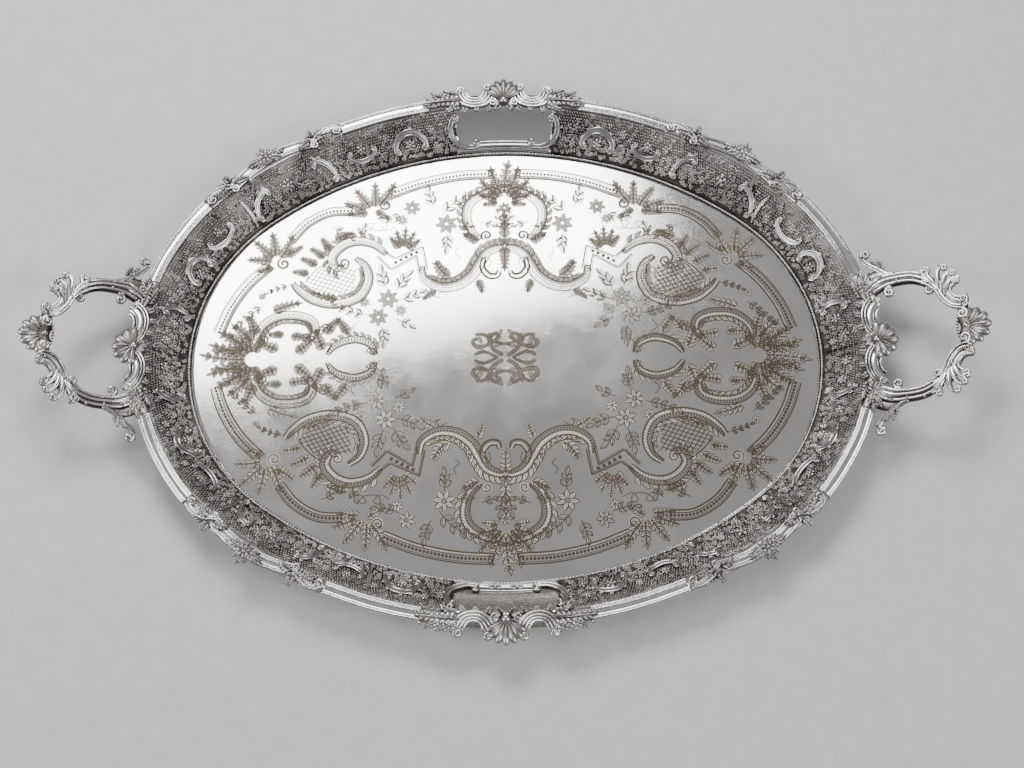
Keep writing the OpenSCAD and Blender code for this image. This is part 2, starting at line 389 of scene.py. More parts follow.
def tube(form, path, half_w, half_h, lift, sides=8, relief=1.0):
    """A closed tube of oval section along a plan path; sizes may vary along it."""
    n = len(path)
    half_w, half_h, lift = spread_to(n, half_w, half_h, lift)
    angle = ring_angles(sides)
    plan = path[:, None, :] + normals(path)[:, None, :] * (half_w[:, None] * np.cos(angle))[..., None]
    height = lift[:, None] + half_h[:, None] * np.sin(angle)
    points = np.concatenate([plan, height[..., None]], 2).reshape(-1, 3)
    ends = np.column_stack([path[[0, -1]], lift[[0, -1]]])
    # Painted shade with tarnish: each tube is lighter on top and darker at its sides and underside
    crest = np.clip(0.35 + 0.75 * np.sin(angle), 0, 1) * relief
    form.add(np.concatenate([points, ends]), np.append(np.tile(crest, n), [0.5, 0.5]),
             *tube_faces(n, sides))


# A lobe's half width, as a share of its greatest, at shares of its length
FINGER_AT = np.array([0, 0.16, 0.36, 0.56, 0.74, 0.88, 0.97, 1.0])
FINGER_WIDTH = np.array([0.34, 0.5, 0.7, 0.9, 1.0, 0.82, 0.45, 0.12])


def fingers(form, starts, headings, lengths, widths, heights, bends=0.0, lift=0.0, droop=0.0, sides=6):
    """Many lobes at once, each narrow at its root and rounded at its tip. Angles are in degrees."""
    starts = np.atleast_2d(np.asarray(starts, float))
    k = max(len(starts), *(np.size(v) for v in (headings, lengths, widths, heights, bends)))
    starts = np.broadcast_to(starts, (k, 2))[:, None, :]
    columns = spread_to(k, np.radians(headings), lengths, widths, heights, np.radians(bends), lift, droop)
    heading, length, width, height, bend, base, fall = (column[:, None] for column in columns)
    share, swell = FINGER_AT[None, :], FINGER_WIDTH[None, :]
    path = curve_points(starts, heading, bend, length, share)
    facing = heading + bend * share
    side = np.stack([-np.sin(facing), np.cos(facing)], -1)
    angle = ring_angles(sides)
    half_w = (width * swell)[..., None] * np.cos(angle)
    plan = path[:, :, None, :] + side[:, :, None, :] * half_w[..., None]
    centre = base + np.sin(share * math.pi * 0.75) * height * 0.5 - fall * share ** 2
    up = centre[..., None] + (height * (0.4 + 0.6 * swell))[..., None] * np.sin(angle)
    body = np.concatenate([plan, up[..., None]], -1).reshape(k, -1, 3)
    tips = np.concatenate([path[:, [0, -1]], centre[:, [0, -1], None]], -1)
    # Painted shade with tarnish: each lobe is lighter on top and towards its tip, darker beneath and at its
    # root
    crest = np.clip(0.3 + 0.8 * np.sin(angle), 0, 1)
    relief = (crest[None, :] * (0.45 + 0.55 * FINGER_AT[:, None])).ravel()
    add_copies(form, np.concatenate([body, tips], 1), np.append(relief, [0.2, 0.9]),
               tube_faces(len(FINGER_AT), sides))


def domes(form, centres, radii, heights, lift=0.0, sides=8, rings=3, relief=1.0):
    """Many round bosses at once."""
    centres = np.atleast_2d(np.asarray(centres, float))
    k = len(centres)
    radii, heights, lift = spread_to(k, radii, heights, lift)
    level = np.linspace(-0.35, 1, rings + 1)[:-1] * math.pi / 2
    ring = rays(2 * math.pi * np.arange(sides) / sides)
    plan = centres[:, None, None, :] + radii[:, None, None, None] * np.cos(level)[:, None, None] * ring
    up = np.broadcast_to((lift[:, None] + heights[:, None] * np.sin(level))[:, :, None], plan.shape[:3])
    body = np.concatenate([plan, up[..., None]], -1).reshape(k, -1, 3)
    foot = np.column_stack([centres, lift - heights * 0.6])[:, None]
    top = np.column_stack([centres, lift + heights])[:, None]
    shade = np.repeat(np.clip(0.25 + 0.9 * np.sin(level), 0, 1), sides)
    add_copies(form, np.concatenate([body, foot, top], 1), np.append(shade, [0.0, 1.0]) * relief,
               tube_faces(rings, sides))


def leaf(form, start, heading, length, width, bend=0, lobes=4, lift=0.0, height=1.4, droop=0.0):
    """An acanthus leaf: a broad body with rounded lobes that curl outwards, shrinking to the tip."""
    start = np.asarray(start, float)
    share = (np.arange(lobes) + 0.1) / (lobes + 0.9)
    roots = curve_points(start[None, :], math.radians(heading), math.radians(bend), length, share)
    facing = heading + bend * share
    reach = width * (1.15 - 0.6 * share)
    fingers(form, start, heading, length * 0.92, width * 0.5, height * 0.75, bend, lift, droop)
    fingers(form, start, heading, length, width * 0.15, height * 1.15, bend, lift + 0.35 * height, droop)
    for side in (1, -1):
        fingers(form, roots, facing + side * 26, reach, reach * 0.34, height * (0.95 - 0.3 * share),
                side * 36, lift + 0.1 * height - droop * share ** 2, droop * 0.3)


def flower(form, centre, r, petals=6, lift=0.0, height=1.3, spin=0.0):
    """A daisy: round petals about a boss."""
    headings = spin + 360 * np.arange(petals) / petals
    fingers(form, centre, headings, r, r * 2.1 / petals, height, 0, lift)
    domes(form, centre, r * 0.34, height * 1.5, lift + height * 0.2)


def shell(form, centre, heading, reach, spread, ribs=9, lift=0.0, height=1.8, shrink=0.25):
    """A scallop of ribs fanned from a hub, longest in the middle."""
    angles = np.linspace(-spread, spread, ribs)
    lengths = reach * (1 - shrink * (np.abs(angles) / spread) ** 1.5)
    width = reach * math.radians(2 * spread / (ribs - 1)) * 0.5
    fingers(form, centre, heading + angles, lengths, width, height, angles * 0.12, lift)
    fingers(form, centre, heading + angles, lengths * 0.9, width * 0.3, height * 0.7, angles * 0.12,
            lift + height * 0.7)
    domes(form, centre, reach * 0.2, height * 1.5, lift + height * 0.4)


def band(form, path, half_w, height, lift=0.0, ends=True, least=0.3):
    """A moulded scroll: a low band with raised edges, thinning to its ends."""
    share = np.linspace(0, 1, len(path))
    swell = least + (1 - least) * np.sin(math.pi * share) ** 0.55
    tube(form, path, half_w * swell, height * 0.6 * swell ** 0.5, lift, relief=0.75)
    for at in (-0.72, 0.72):
        tube(form, offset_path(path, half_w * swell * at), half_w * 0.27 * swell + 0.12,
             height * 0.5 * swell ** 0.5, lift + height * 0.45 * swell ** 0.5, sides=6)
    if ends:
        domes(form, path[[0, -1]], half_w * 0.62, height * 0.8, lift + height * 0.3)


def volute(form, centre, r, turned=1, start=0.0, wide=1.2, high=1.3, lift=1.6, turns=1.35):
    """A small spiral with an eye."""
    t = np.linspace(0, 2 * math.pi * turns, 30)
    radius = r * (1 - 0.72 * t / t[-1])
    path = np.asarray(centre) + radius[:, None] * rays(math.radians(start) + turned * t)
    tube(form, path, wide * np.linspace(1, 0.55, 30), high, lift, sides=8)
    domes(form, centre, r * 0.33, high * 1.25, lift + 0.2)


def swept(form, profile, along, place, relief=1.0, out_shift=0.0, lift=0.0):
    """Sweeps a closed profile of [out, height] points along the outline, with its ends closed."""
    n, m = len(along), len(profile)
    out = profile[:, 0] + spread_to(n, out_shift)[0][:, None]
    grid = np.broadcast_arrays(along[:, None], out, profile[:, 1] + lift)
    points = place(np.stack(grid, -1).reshape(-1, 3))
    ends = points.reshape(n, m, 3)[[0, -1]].mean(1)
    shade = np.tile(spread_to(m, relief)[0], n)
    form.add(np.concatenate([points, ends]), np.append(shade, [0.5, 0.5]), *tube_faces(n, m))


# ---- materials ----


class Shader:
    """Small helper for building a node material from named pieces."""

    def __init__(self, name):
        self.material = bpy.data.materials.new(name)
        self.material.use_nodes = True
        self.tree = self.material.node_tree
        self.tree.nodes.clear()
        self.output = self.tree.nodes.new("ShaderNodeOutputMaterial")
        self.surface = self.tree.nodes.new("ShaderNodeBsdfPrincipled")
        self.tree.links.new(self.surface.outputs["BSDF"], self.output.inputs["Surface"])

    def link(self, source, target):
        self.tree.links.new(source, target)

    def coords(self):
        return self.tree.nodes.new("ShaderNodeTexCoord").outputs["Object"]

    def noise(self, scale, detail=4.0, rough=0.55, vector=None, distortion=0.0):
        node = self.tree.nodes.new("ShaderNodeTexNoise")
        node.inputs["Scale"].default_value = scale
        node.inputs["Detail"].default_value = detail
        node.inputs["Roughness"].default_value = rough
        node.inputs["Distortion"].default_value = distortion
        self.link(vector or self.coords(), node.inputs["Vector"])
        return node.outputs["Fac"]

    def stretched(self, scale, turn):
        node = self.tree.nodes.new("ShaderNodeMapping")
        node.inputs["Scale"].default_value = scale
        node.inputs["Rotation"].default_value = (0, 0, math.radians(turn))
        self.link(self.coords(), node.inputs["Vector"])
        return node.outputs["Vector"]

    def attribute(self, name):
        node = self.tree.nodes.new("ShaderNodeAttribute")
        node.attribute_name = name
        return node.outputs["Fac"]

    def ramp(self, value, low, high, start=0.0, end=1.0):
        """Maps value from low..high to start..end, clamped."""
        node = self.tree.nodes.new("ShaderNodeMapRange")
        node.inputs["From Min"].default_value = low
        node.inputs["From Max"].default_value = high
        node.inputs["To Min"].default_value = start
        node.inputs["To Max"].default_value = end
        self.link(value, node.inputs["Value"])
        return node.outputs["Result"]

    def maths(self, kind, first, second):
        node = self.tree.nodes.new("ShaderNodeMath")
        node.operation = kind
        for value, socket in ((first, node.inputs[0]), (second, node.inputs[1])):
            if isinstance(value, (int, float)):
                socket.default_value = value
            else:
                self.link(value, socket)
        return node.outputs["Value"]

    def mix(self, share, first, second):
        node = self.tree.nodes.new("ShaderNodeMix")
        node.data_type = "RGBA"
        self.link(share, node.inputs["Factor"])
        for value, socket in ((first, node.inputs["A"]), (second, node.inputs["B"])):
            if isinstance(value, tuple):
                socket.default_value = (*value, 1.0)
            else:
                self.link(value, socket)
        return node.outputs["Result"]

    def bump(self, height, strength, distance):
        node = self.tree.nodes.new("ShaderNodeBump")
        node.inputs["Strength"].default_value = strength
        node.inputs["Distance"].default_value = distance
        self.link(height, node.inputs["Height"])
        self.link(node.outputs["Normal"], self.surface.inputs["Normal"])


BRIGHT = (0.83, 0.815, 0.79)
WORN = (0.70, 0.67, 0.64)
CLOUDED = (0.56, 0.52, 0.49)
# The first dark colour is tarnish in hollows with painted shade on undersides and roots; the second is the
# colour of the engraved lines
TARNISH_AND_SHADE = (0.060, 0.046, 0.046)
CUT_TARNISH = (0.075, 0.062, 0.046)


def chased_silver(name, dark_from, dark_to, rough, tarnish_and_shade=TARNISH_AND_SHADE, wear=0.16):
    """Silver painted bright on its crests and tops and dark in its hollows, undersides and roots: tarnish
    there, with painted shade; varied in patches.
    """
    shader = Shader(name)
    relief = shader.attribute("relief")
    patch = shader.noise(38.0, 3.0)
    fine = shader.noise(900.0, 4.0)
    level = shader.maths("ADD", relief, shader.ramp(patch, 0.3, 0.7, -wear, wear))
    level = shader.maths("ADD", level, shader.ramp(fine, 0.3, 0.7, -0.09, 0.09))
    # Share of bright metal, as polish with painted light and shade: crests and tops lighter, hollows,
    # undersides and roots darker
    polish_and_light = shader.ramp(level, dark_from, dark_to)
    metal = shader.mix(shader.ramp(shader.noise(120.0, 5.0), 0.35, 0.7), BRIGHT, WORN)
    shader.link(shader.mix(polish_and_light, tarnish_and_shade, metal), shader.surface.inputs["Base Color"])
    shader.link(shader.ramp(polish_and_light, 0.0, 1.0, 0.55, rough), shader.surface.inputs["Roughness"])
    shader.surface.inputs["Metallic"].default_value = 1.0
    shader.bump(fine, 0.25, 0.0002)
    return shader.material


def plain_silver(name, rough_low, rough_high, scratch):
    """Smooth plated silver with faint stains and the fine scratches of polishing."""
    shader = Shader(name)
    stain = shader.ramp(shader.noise(9.0, 6.0, 0.6, distortion=0.6), 0.38, 0.72)
    cloud = shader.ramp(shader.noise(3.1, 3.0), 0.3, 0.75)
    metal = shader.mix(stain, BRIGHT, WORN)
    cloudy = shader.mix(shader.maths("MULTIPLY", cloud, 0.35), metal, CLOUDED)
    shader.link(cloudy, shader.surface.inputs["Base Color"])
    scuff = shader.maths("ADD", shader.noise(1.0, 5.0, 0.7, shader.stretched((2200.0, 26.0, 40.0), 18)),
                         shader.noise(1.0, 5.0, 0.7, shader.stretched((30.0, 2000.0, 40.0), 41)))
    smear = shader.noise(16.0, 5.0, 0.65)
    worn = shader.maths("ADD", smear, shader.maths("MULTIPLY", scuff, 0.35))
    shader.link(shader.ramp(worn, 0.55, 1.1, rough_low, rough_high), shader.surface.inputs["Roughness"])
    shader.surface.inputs["Metallic"].default_value = 1.0
    shader.bump(scuff, scratch, 0.00006)
    return shader.material


WELL_METAL = plain_silver("silver_well", 0.055, 0.17, 0.25)
PLAIN_METAL = plain_silver("silver_polished", 0.1, 0.24, 0.05)
GROUND_METAL = chased_silver("silver_border_ground", 0.1, 1.15, 0.3)
CHASED_METAL = chased_silver("silver_chased", 0.3, 0.98, 0.15)
REED_METAL = chased_silver("silver_reeded", 0.05, 0.75, 0.14)
CAST_METAL = chased_silver("silver_cast", 0.32, 1.06, 0.17)
CUT_METAL = chased_silver("silver_engraved", 0.18, 0.95, 0.3, CUT_TARNISH, 0.05)

# ---- the well ----


def ellipse_ring(turns, out):
    """A full ring of outline points, counter-clockwise, from turns in the first quarter."""
    quarter = outline(turns, out)
    upper = np.concatenate([quarter, (quarter * [-1, 1])[::-1][1:]])
    return np.concatenate([upper, (upper * [1, -1])[::-1][1:-1]])


def build_well():
    """The plate: a slightly uneven upper face, a rounded edge and a flat underside."""
    form = Form()
    edge = ellipse_ring(np.linspace(0, math.pi / 2, 49), 0.0)
    m = len(edge)
    upper = [edge * share for share in np.linspace(1, 0.02, 60)]
    rows = [np.column_stack([plan, PLATE_T - PLATE_WEAR + plate_wave(*plan.T)]) for plan in upper]
    hub = [[0, 0, PLATE_T - PLATE_WEAR + plate_wave(0, 0)]]
    around = np.arange(m)
    after = (around + 1) % m
    inner = (len(rows) - 1) * m
    form.add(np.concatenate(rows + [hub]), 1.0, grid_faces(len(rows), m, closed=True),
             np.stack([inner + around, inner + after, np.full(m, inner + m)], 1))
    lower = ((1, 0.3), (0.998, 0), (0.5, 0))
    under = [np.column_stack([edge * share, np.full(m, up)]) for share, up in lower]
    low = form.count + 2 * m
    form.quads.append(np.stack([around, form.count + around, form.count + after, after], 1))
    form.add(np.concatenate(under + [[[0, 0, 0]]]), 0.8, grid_faces(3, m, closed=True)[:, ::-1])
    form.tris.append(np.stack([low + after, low + around, np.full(m, form.count - 1)], 1))
    make_object("well", form, WELL_METAL, ["well_plate"])


def build_beads():
    """The beaded wire soldered along the edge of the well."""
    form = Form()
    ring = ellipse_ring(np.linspace(0, math.pi / 2, 1500), 0.0)
    step = np.linalg.norm(np.roll(ring, -1, 0) - ring, axis=1)
    run = np.concatenate([[0], np.cumsum(step)])
    count = int(run[-1] / BEAD_PITCH)
    at = np.arange(count) * run[-1] / count
    closed = np.concatenate([ring, ring[:1]])
    centres = np.stack([np.interp(at, run, closed[:, i]) for i in (0, 1)], 1)
    domes(form, centres, BEAD_R * 0.97, BEAD_R * 1.0, PLATE_T + BEAD_R * 0.72, sides=10, rings=4)
    # The wire's core, a ring of its own
    core = ellipse_ring(np.linspace(0, math.pi / 2, 130), 0.0)
    m, sides = len(core), 8
    angle = 2 * math.pi * np.arange(sides) / sides
    tangent = np.roll(core, -1, 0) - np.roll(core, 1, 0)
    tangent /= np.linalg.norm(tangent, axis=1, keepdims=True)
    outward = np.stack([tangent[:, 1], -tangent[:, 0]], 1)
    plan = core[:, None] + outward[:, None] * (BEAD_R * 0.7 * np.cos(angle))[None, :, None]
    up = np.broadcast_to(PLATE_T + BEAD_R * (0.6 + 0.6 * np.sin(angle)), (m, sides))
    here, ahead = np.arange(m)[:, None] * sides, (np.arange(m)[:, None] + 1) % m * sides
    side, after = np.arange(sides), (np.arange(sides) + 1) % sides
    quads = np.stack([here + side, ahead + side, ahead + after, here + after], -1)
    form.add(np.concatenate([plan, up[..., None]], 2).reshape(-1, 3), 0.4, quads)
    make_object("bead_wire_round", form, REED_METAL, ["bead_wire"])


# ---- the border ----

# The chased border's main scrolls, as rows of middle point, heading there, half length, bending, length of
# the volutes and half width
MAIN_SCROLLS = [
    ((42.5, 16.0), 100, 9.0, 4.6, 8.5, 2.1),
    ((84.0, 21.0), 180, 16.0, 3.9, 9.5, 2.4),
    ((120.0, 11.0), 0, 12.0, 2.2, 9.0, 2.0),
    ((164.5, 17.5), 40, 11.0, -2.8, 8.0, 2.1),
    ((234.6, 18.0), 130, 10.5, 3.2, 8.5, 2.2),
    ((267.0, 11.2), 0, 11.0, 3.0, 8.5, 1.9),
    ((310.5, 22.0), 180, 17.5, 3.5, 9.5, 2.5),
]
# The chased border's main flowers, held by the scrolls: place along and out, and radius
MAIN_FLOWERS = [
    (29, 15, 3.9), (58, 17, 3.4), (82, 11.5, 4.2), (120, 18.5, 3.8), (143, 12, 3.3), (196, 17, 4.8),
    (182, 12, 3.2), (212, 12, 3.3), (266, 19, 3.8), (310.5, 13, 4.3), (290, 22, 3.2), (331, 21, 3.3),
    (250, 21, 3.2), (141, 24, 3.0), (333, 9.5, 3.2), (12, 18, 4.0), (8, 9, 3.2), (66, 23, 3.0),
    (103, 23, 3.0),
]


def sheet_profile(outs, lift=0.0):
    """The border's section: foot, upright step, hollow slope, flange, and the sheet's underside."""
    foot = [[FOOT_OUT, PLATE_T], [FOOT_OUT, PLATE_T + STEP_H],
            [SLOPE_START - 0.6, PLATE_T + STEP_H + 0.8]]
    upper = np.column_stack([outs, slope_height(outs) + lift])
    flange = [[FLANGE_OUT, BORDER_H], [FLANGE_OUT, BORDER_H - SHEET_T],
              [BORDER_W - 1, BORDER_H - SHEET_T]]
    under = np.column_stack([outs[::-1], slope_height(outs[::-1]) - SHEET_T])
    return np.concatenate([foot, upper, flange, under, [[FOOT_OUT + SHEET_T, PLATE_T]]])


def border_ground(low, high, seed):
    """The sloping sheet between two lengths along the outline, with rows of pellets punched over it."""
    form = Form()
    along = np.linspace(low, high, max(4, int((high - low) / 3)))
    outs = np.linspace(SLOPE_START, RIM_IN, 16)
    slope_shade = np.linspace(0.02, 0.3, len(outs))
    shade = np.concatenate([[0.05, 0.2, 0.1], slope_shade, [0.6, 0.6, 0.6], np.full(len(outs), 0.75),
                            [0.6]])
    swept(form, sheet_profile(outs), along, on_outline, shade)
    rng = np.random.default_rng(seed)
    row_step = PELLET_PITCH * 0.87
    centres = []
    for row in range(int((31.2 - 5.5) / row_step)):
        s = np.arange(low + 1.2 + (row % 2) * PELLET_PITCH / 2, high - 1.0, PELLET_PITCH)
        centres.append(np.stack([s, np.full(len(s), 30.8 - row * PELLET_PITCH * 0.87)], 1))
    centres = np.concatenate(centres)
    centres += rng.normal(0, 0.14, centres.shape)
    size = 0.86 * rng.uniform(0.8, 1.0, len(centres))
    pellets = Form()
    domes(pellets, centres, size, size * 0.78, 0.0, sides=6, rings=2, relief=0.85)
    return form.join(pellets.placed(on_border))


def clear_of(paths, centre, gap):
    """Whether a point is farther than a gap from every path."""
    return min(np.min(np.hypot(*(path - centre).T)) for path in paths) > gap


def chased_scroll(form, middle, heading, half, curve, curl, width):
    """One moulded C-scroll, with leaves that spring outwards from its back; gives its path."""
    path = c_path(middle, heading, half, curve, curl)
    band(form, path, width, 2.0, lift=0.9)
    outer = -math.copysign(1, curve)
    n = len(path)
    for at in np.linspace(0.25, 0.75, 5):
        i = int(at * n)
        facing = heading_of(path[min(i + 1, n - 1)] - path[i - 1])
        side = 1 if at > 0.5 else -1
        head = facing + outer * (90 - side * 38)
        fingers(form, path[i], [head - 16, head + 4, head + 24], [4.2, 5.0, 3.8], [0.8, 0.9, 0.75], 1.2,
                -side * outer * 35, 0.3)
    return path


def small_filling(form, centre, rng):
    """A small flower, a leaf or three berries, drawn at random; gives the room that it takes."""
    kind = rng.random()
    if kind < 0.22:
        flower(form, centre, 2.1, 5, 0.1, 0.95, rng.uniform(0, 60))
        return 1.7
    if kind < 0.82:
        head = rng.uniform(0, 360)
        leaf(form, centre - 2.3 * direction(head), head, 5.6, 2.4, rng.uniform(-60, 60), 3, 0.0, 0.95)
        return 1.5
    spread = rng.uniform(0, 360)
    domes(form, centre + 1.15 * rays(np.radians(spread + np.arange(3) * 120)), 0.95, 1.2, 0.0)
    return 1.3


def border_chasing(seed):
    """One quarter's scrolls, flowers, leaves and berries, from the handle axis to the plain panel."""
    form = Form()
    paths = [chased_scroll(form, *scroll) for scroll in MAIN_SCROLLS]
    bar = np.stack([152.5 + 2.0 * np.sin(np.linspace(0, math.pi, 30)), np.linspace(3.5, 25, 30)], 1)
    band(form, bar, 1.5, 1.5, lift=0.4)
    rng = np.random.default_rng(seed)
    taken = []
    for s, u, r in MAIN_FLOWERS:
        centre = np.array([s, u]) + rng.normal(0, 0.5, 2)
        flower(form, centre, r, int(rng.integers(5, 8)), 0.3, 1.2, rng.uniform(0, 60))
        taken.append((centre, r))
    # Leaves and small flowers fill what is left, kept off the scrolls and the panel's scrolled end
    paths += [bar, np.array([(350, 27), (347.5, 20), (349, 11), (352, 8)])]
    fill = Form()
    for s in np.arange(4, 352, 3.0):
        for u in np.arange(4.2, 30, 3.6):
            centre = np.array([s, u]) + rng.uniform(-1.5, 1.5, 2)
            if u > 19 and rng.random() < 0.66:
                continue
            if not clear_of(paths, centre, 3.3):
                continue
            if any(np.hypot(*(centre - other)) < room + 1.0 for other, room in taken):
                continue
            taken.append((centre, small_filling(fill, centre, rng)))
    fill.relief = [part * 0.86 for part in fill.relief]
    return form.join(fill)


def split_by_length(form, at):
    """Parts a form of many closed shapes in two at a length along the outline; each shape stays whole."""
    points = np.concatenate(form.points)
    relief = np.concatenate(form.relief)
    sizes = [len(p) for p in form.points]
    shape = np.repeat(np.arange(len(sizes)), sizes)
    centre = np.bincount(shape, points[:, 0]) / np.array(sizes)
    first = centre[shape] < at
    parts = []
    for keep in (first, ~first):
        index = np.cumsum(keep) - 1
        part = Form()
        part.points, part.relief, part.count = [points[keep]], [relief[keep]], int(keep.sum())
        part.quads = [index[q[keep[q[:, 0]]]] for q in form.quads]
        part.tris = [index[t[keep[t[:, 0]]]] for t in form.tris]
        parts.append(part)
    return parts


def build_borders():
    """Eight chased sections, two to a quarter, meeting beneath the corner mounts."""
    for number, (quarter, (sx, sy)) in enumerate(QUARTERS.items()):
        end, side = split_by_length(border_chasing(40 + number), JOIN_ALONG)
        for part, low, high, scrolls in (("end", 0.0, JOIN_ALONG, end),
                                         ("side", JOIN_ALONG, PANEL_MEETS, side)):
            name = "border_" + part + "_" + quarter
            ground = border_ground(low, high, 80 + number).mirrored(sx < 0, sy < 0)
            chasing = scrolls.placed(on_border).mirrored(sx < 0, sy < 0)
            make_object(name + "_ground", ground, GROUND_METAL, [name])
            make_object(name + "_chasing", chasing, CHASED_METAL)


def panel_end():
    """The scroll at one end of a plain panel, with leaves on its back; x runs from the panel's middle."""
    form = Form()
    path = spline([(-43.4, 27.4), (-46.4, 22), (-46.8, 15.5), (-42.5, 9.0), (-34, 5.2), (-25, 5.0)], 60)
    band(form, path, 2.3, 2.0, 1.0, ends=False, least=0.5)
    volute(form, (-42.0, 25.2), 2.8, -1, 110, 1.2, 1.6, 1.4)
    volute(form, (-25.4, 7.6), 3.0, 1, -90, 1.2, 1.6, 1.4)
    fingers(form, path[[8, 16, 24, 32]], [150, 176, 196, 224], [4, 5, 5, 4], 1.0, 1.3,
            [-25, -10, 10, 25], 0.3)
    return form


def build_panels():
    """The plain panels in the middle of the long sides, with a bar at the foot and scrolled ends."""
    for name, sy, knots in (("panel_back", 1, False), ("panel_front", -1, True)):
        form = Form()
        along = np.linspace(PANEL_MEETS, 2 * AXIS_ALONG - PANEL_MEETS, 40)
        swept(form, sheet_profile(np.linspace(SLOPE_START, RIM_IN, 20), 0.05), along, on_outline)
        make_object(name + "_sheet", form.mirrored(y=sy < 0), PLAIN_METAL, [name])
        trim = Form()
        bar = np.stack([np.linspace(-22, 22, 60), np.full(60, 5.4)], 1)
        for out, half_w, half_h, lift in ((0, 1.7, 1.5, 0.6), (2.9, 0.7, 0.8, 0.3),
                                          (-2.3, 0.6, 0.7, 0.3)):
            tube(trim, bar + [0, out], half_w, half_h, lift)
        if knots:
            for at in (-9, 9):
                for turned in (0, 180):
                    leaf(trim, (at, 5.4), turned, 5.5, 3.2, 0, 3, 1.2, 1.1)
                domes(trim, (at, 5.4), 1.7, 2.0, 1.2)
        trim.join(panel_end()).join(panel_end().mirrored(x=True))
        placed = trim.placed(from_axis).placed(on_border)
        make_object(name + "_trim", placed.mirrored(y=sy < 0), CHASED_METAL)


# ---- the rim ----


# A rim moulding from the inside out: half width and height of each reed, or depth of a hollow
REEDS = [(0.9, 1.35), (0.55, 0.8), (0.55, 0.8), (2.1, -0.55), (0.5, 0.9), (1.2, 1.6)]


def reed_profile(low, high, arch=1.3):
    """Reeds side by side on an arched bed with a flat underside, and how bright each point is."""
    scale = (high - low) / (2 * sum(half for half, tall in REEDS))
    points, shade = [[low + 0.1, 0.0]], [0.5]
    start = low
    for half, tall in REEDS:
        for t in np.linspace(0, math.pi, 8):
            out = start + half * scale * (1 - math.cos(t))
            bed = 0.7 + arch * math.sin(math.pi * (out - low) / (high - low))
            points.append([out, bed + tall * math.sin(t) ** 0.8])
            shade.append(0.8 if tall < 0 else 0.02 + 0.98 * math.sin(t) ** 0.7)
        start += 2 * half * scale
    points.append([high - 0.1, 0.0])
    shade.append(0.5)
    return np.array(points), np.array(shade)


def build_reeds():
    """Eight lengths of reeded moulding between the mounts."""
    profile, shade = reed_profile(RIM_IN + 0.4, RIM_OUT - 0.4)
    for kind, low, high in (("end_reed", END_MEETS, CORNER_MEETS),
                            ("long_reed", REED_MEETS, SHELL_MEETS)):
        along = np.arange(low, high + 0.1, 1.0)
        form = Form()
        swept(form, profile, along, on_rim, shade, 0.12 * np.sin(along / 9.0))
        make_quarters(kind, "_fine", form, REED_METAL)


def mount_bed(form, along, relief, crest=2.0, shoulder=1.2):
    """The low bed that a mount's ornament stands on."""
    bed = [[RIM_IN + 0.4, 0], [RIM_IN + 0.8, 1.2], [38, crest], [RIM_OUT - 1.0, shoulder],
           [RIM_OUT - 0.6, 0]]
    swept(form, np.array(bed), along, on_rim, relief)


CORNER_MID = 191.0


def corner_flank(form, cusp, side, end):
    """The leafy flank from a lobe's cusp out to the reeding; side is 1 where that is up the outline."""
    away = 0 if side > 0 else 180
    span = abs(end - cusp)
    # A scroll runs along the rim from the cusp and rolls up against the reeding
    run = spline([(cusp + side, 33.6), (cusp + side * 7, 38.8), (cusp + side * (span - 9), 41.4),
                  (end - side * 3.2, 40.6)], 44)
    band(form, run, 2.4, 2.0, 2.4, ends=False, least=0.55)
    volute(form, (end - side * 4.4, 37.0), 3.9, -side, 90, 1.3, 1.9, 2.6)
    leaf(form, (cusp + side * 3, 37.5), away + side * 4, span * 0.66, 4.4, -side * 16, 5, 2.2, 1.9)
    leaf(form, (cusp + side * 5, 42.0), away, span * 0.5, 3.4, side * 18, 4, 1.4, 1.7)
    leaf(form, (cusp + side * 4, 34.0), away, span * 0.55, 3.2, 0, 4, 1.2, 1.6)
    domes(form, (end - side * 11, 35.4), 1.5, 1.9, 1.4)
    # A tab with a ball stands at the outer edge beside the cusp
    leaf(form, (cusp + side * 1, 39.5), 90 - side * 14, 9.0, 4.2, side * 24, 3, 1.8, 1.9)
    domes(form, (cusp + side * 2.6, 46.8), 1.5, 1.9, 1.4)
    volute(form, (cusp + side * 1.5, 32.2), 3.4, side, 90, 1.15, 1.5, 1.8)
    domes(form, (cusp - side * 4.2, 32.0), 1.3, 1.8, 1.4)
    # The lobe's end is gripped by a small leaf
    leaf(form, (cusp - side * 1, 36.5), 180 - away, 13.0, 4.6, side * 30, 4, 2.6, 1.8)


def corner_knot(form, middle):
    """Flowers and leaves gathered on the middle of the lobe."""
    for turned, slant in ((0, -28), (180, 28)):
        leaf(form, middle, turned, 17.0, 5.4, 0, 5, 3.0, 1.9, 0.8)
        leaf(form, middle, turned + slant, 13.0, 4.2, 0, 4, 2.6, 1.7, 0.8)
    for heading, length in ((58, 9.6), (90, 11.6), (122, 9.6)):
        leaf(form, middle, heading, length, 4.0, 0, 3, 2.6, 1.9, 0.8)
    for heading in (235, 270, 305):
        leaf(form, middle, heading, 8.6, 3.6, 0, 3, 2.8, 1.7, 0.6)
    flower(form, middle, 5.6, 7, 4.0, 1.7, 12)
    flower(form, middle + [8.2, 0.2], 3.9, 6, 3.6, 1.5, 30)
    flower(form, middle - [8.2, -0.2], 3.9, 6, 3.6, 1.5, 0)


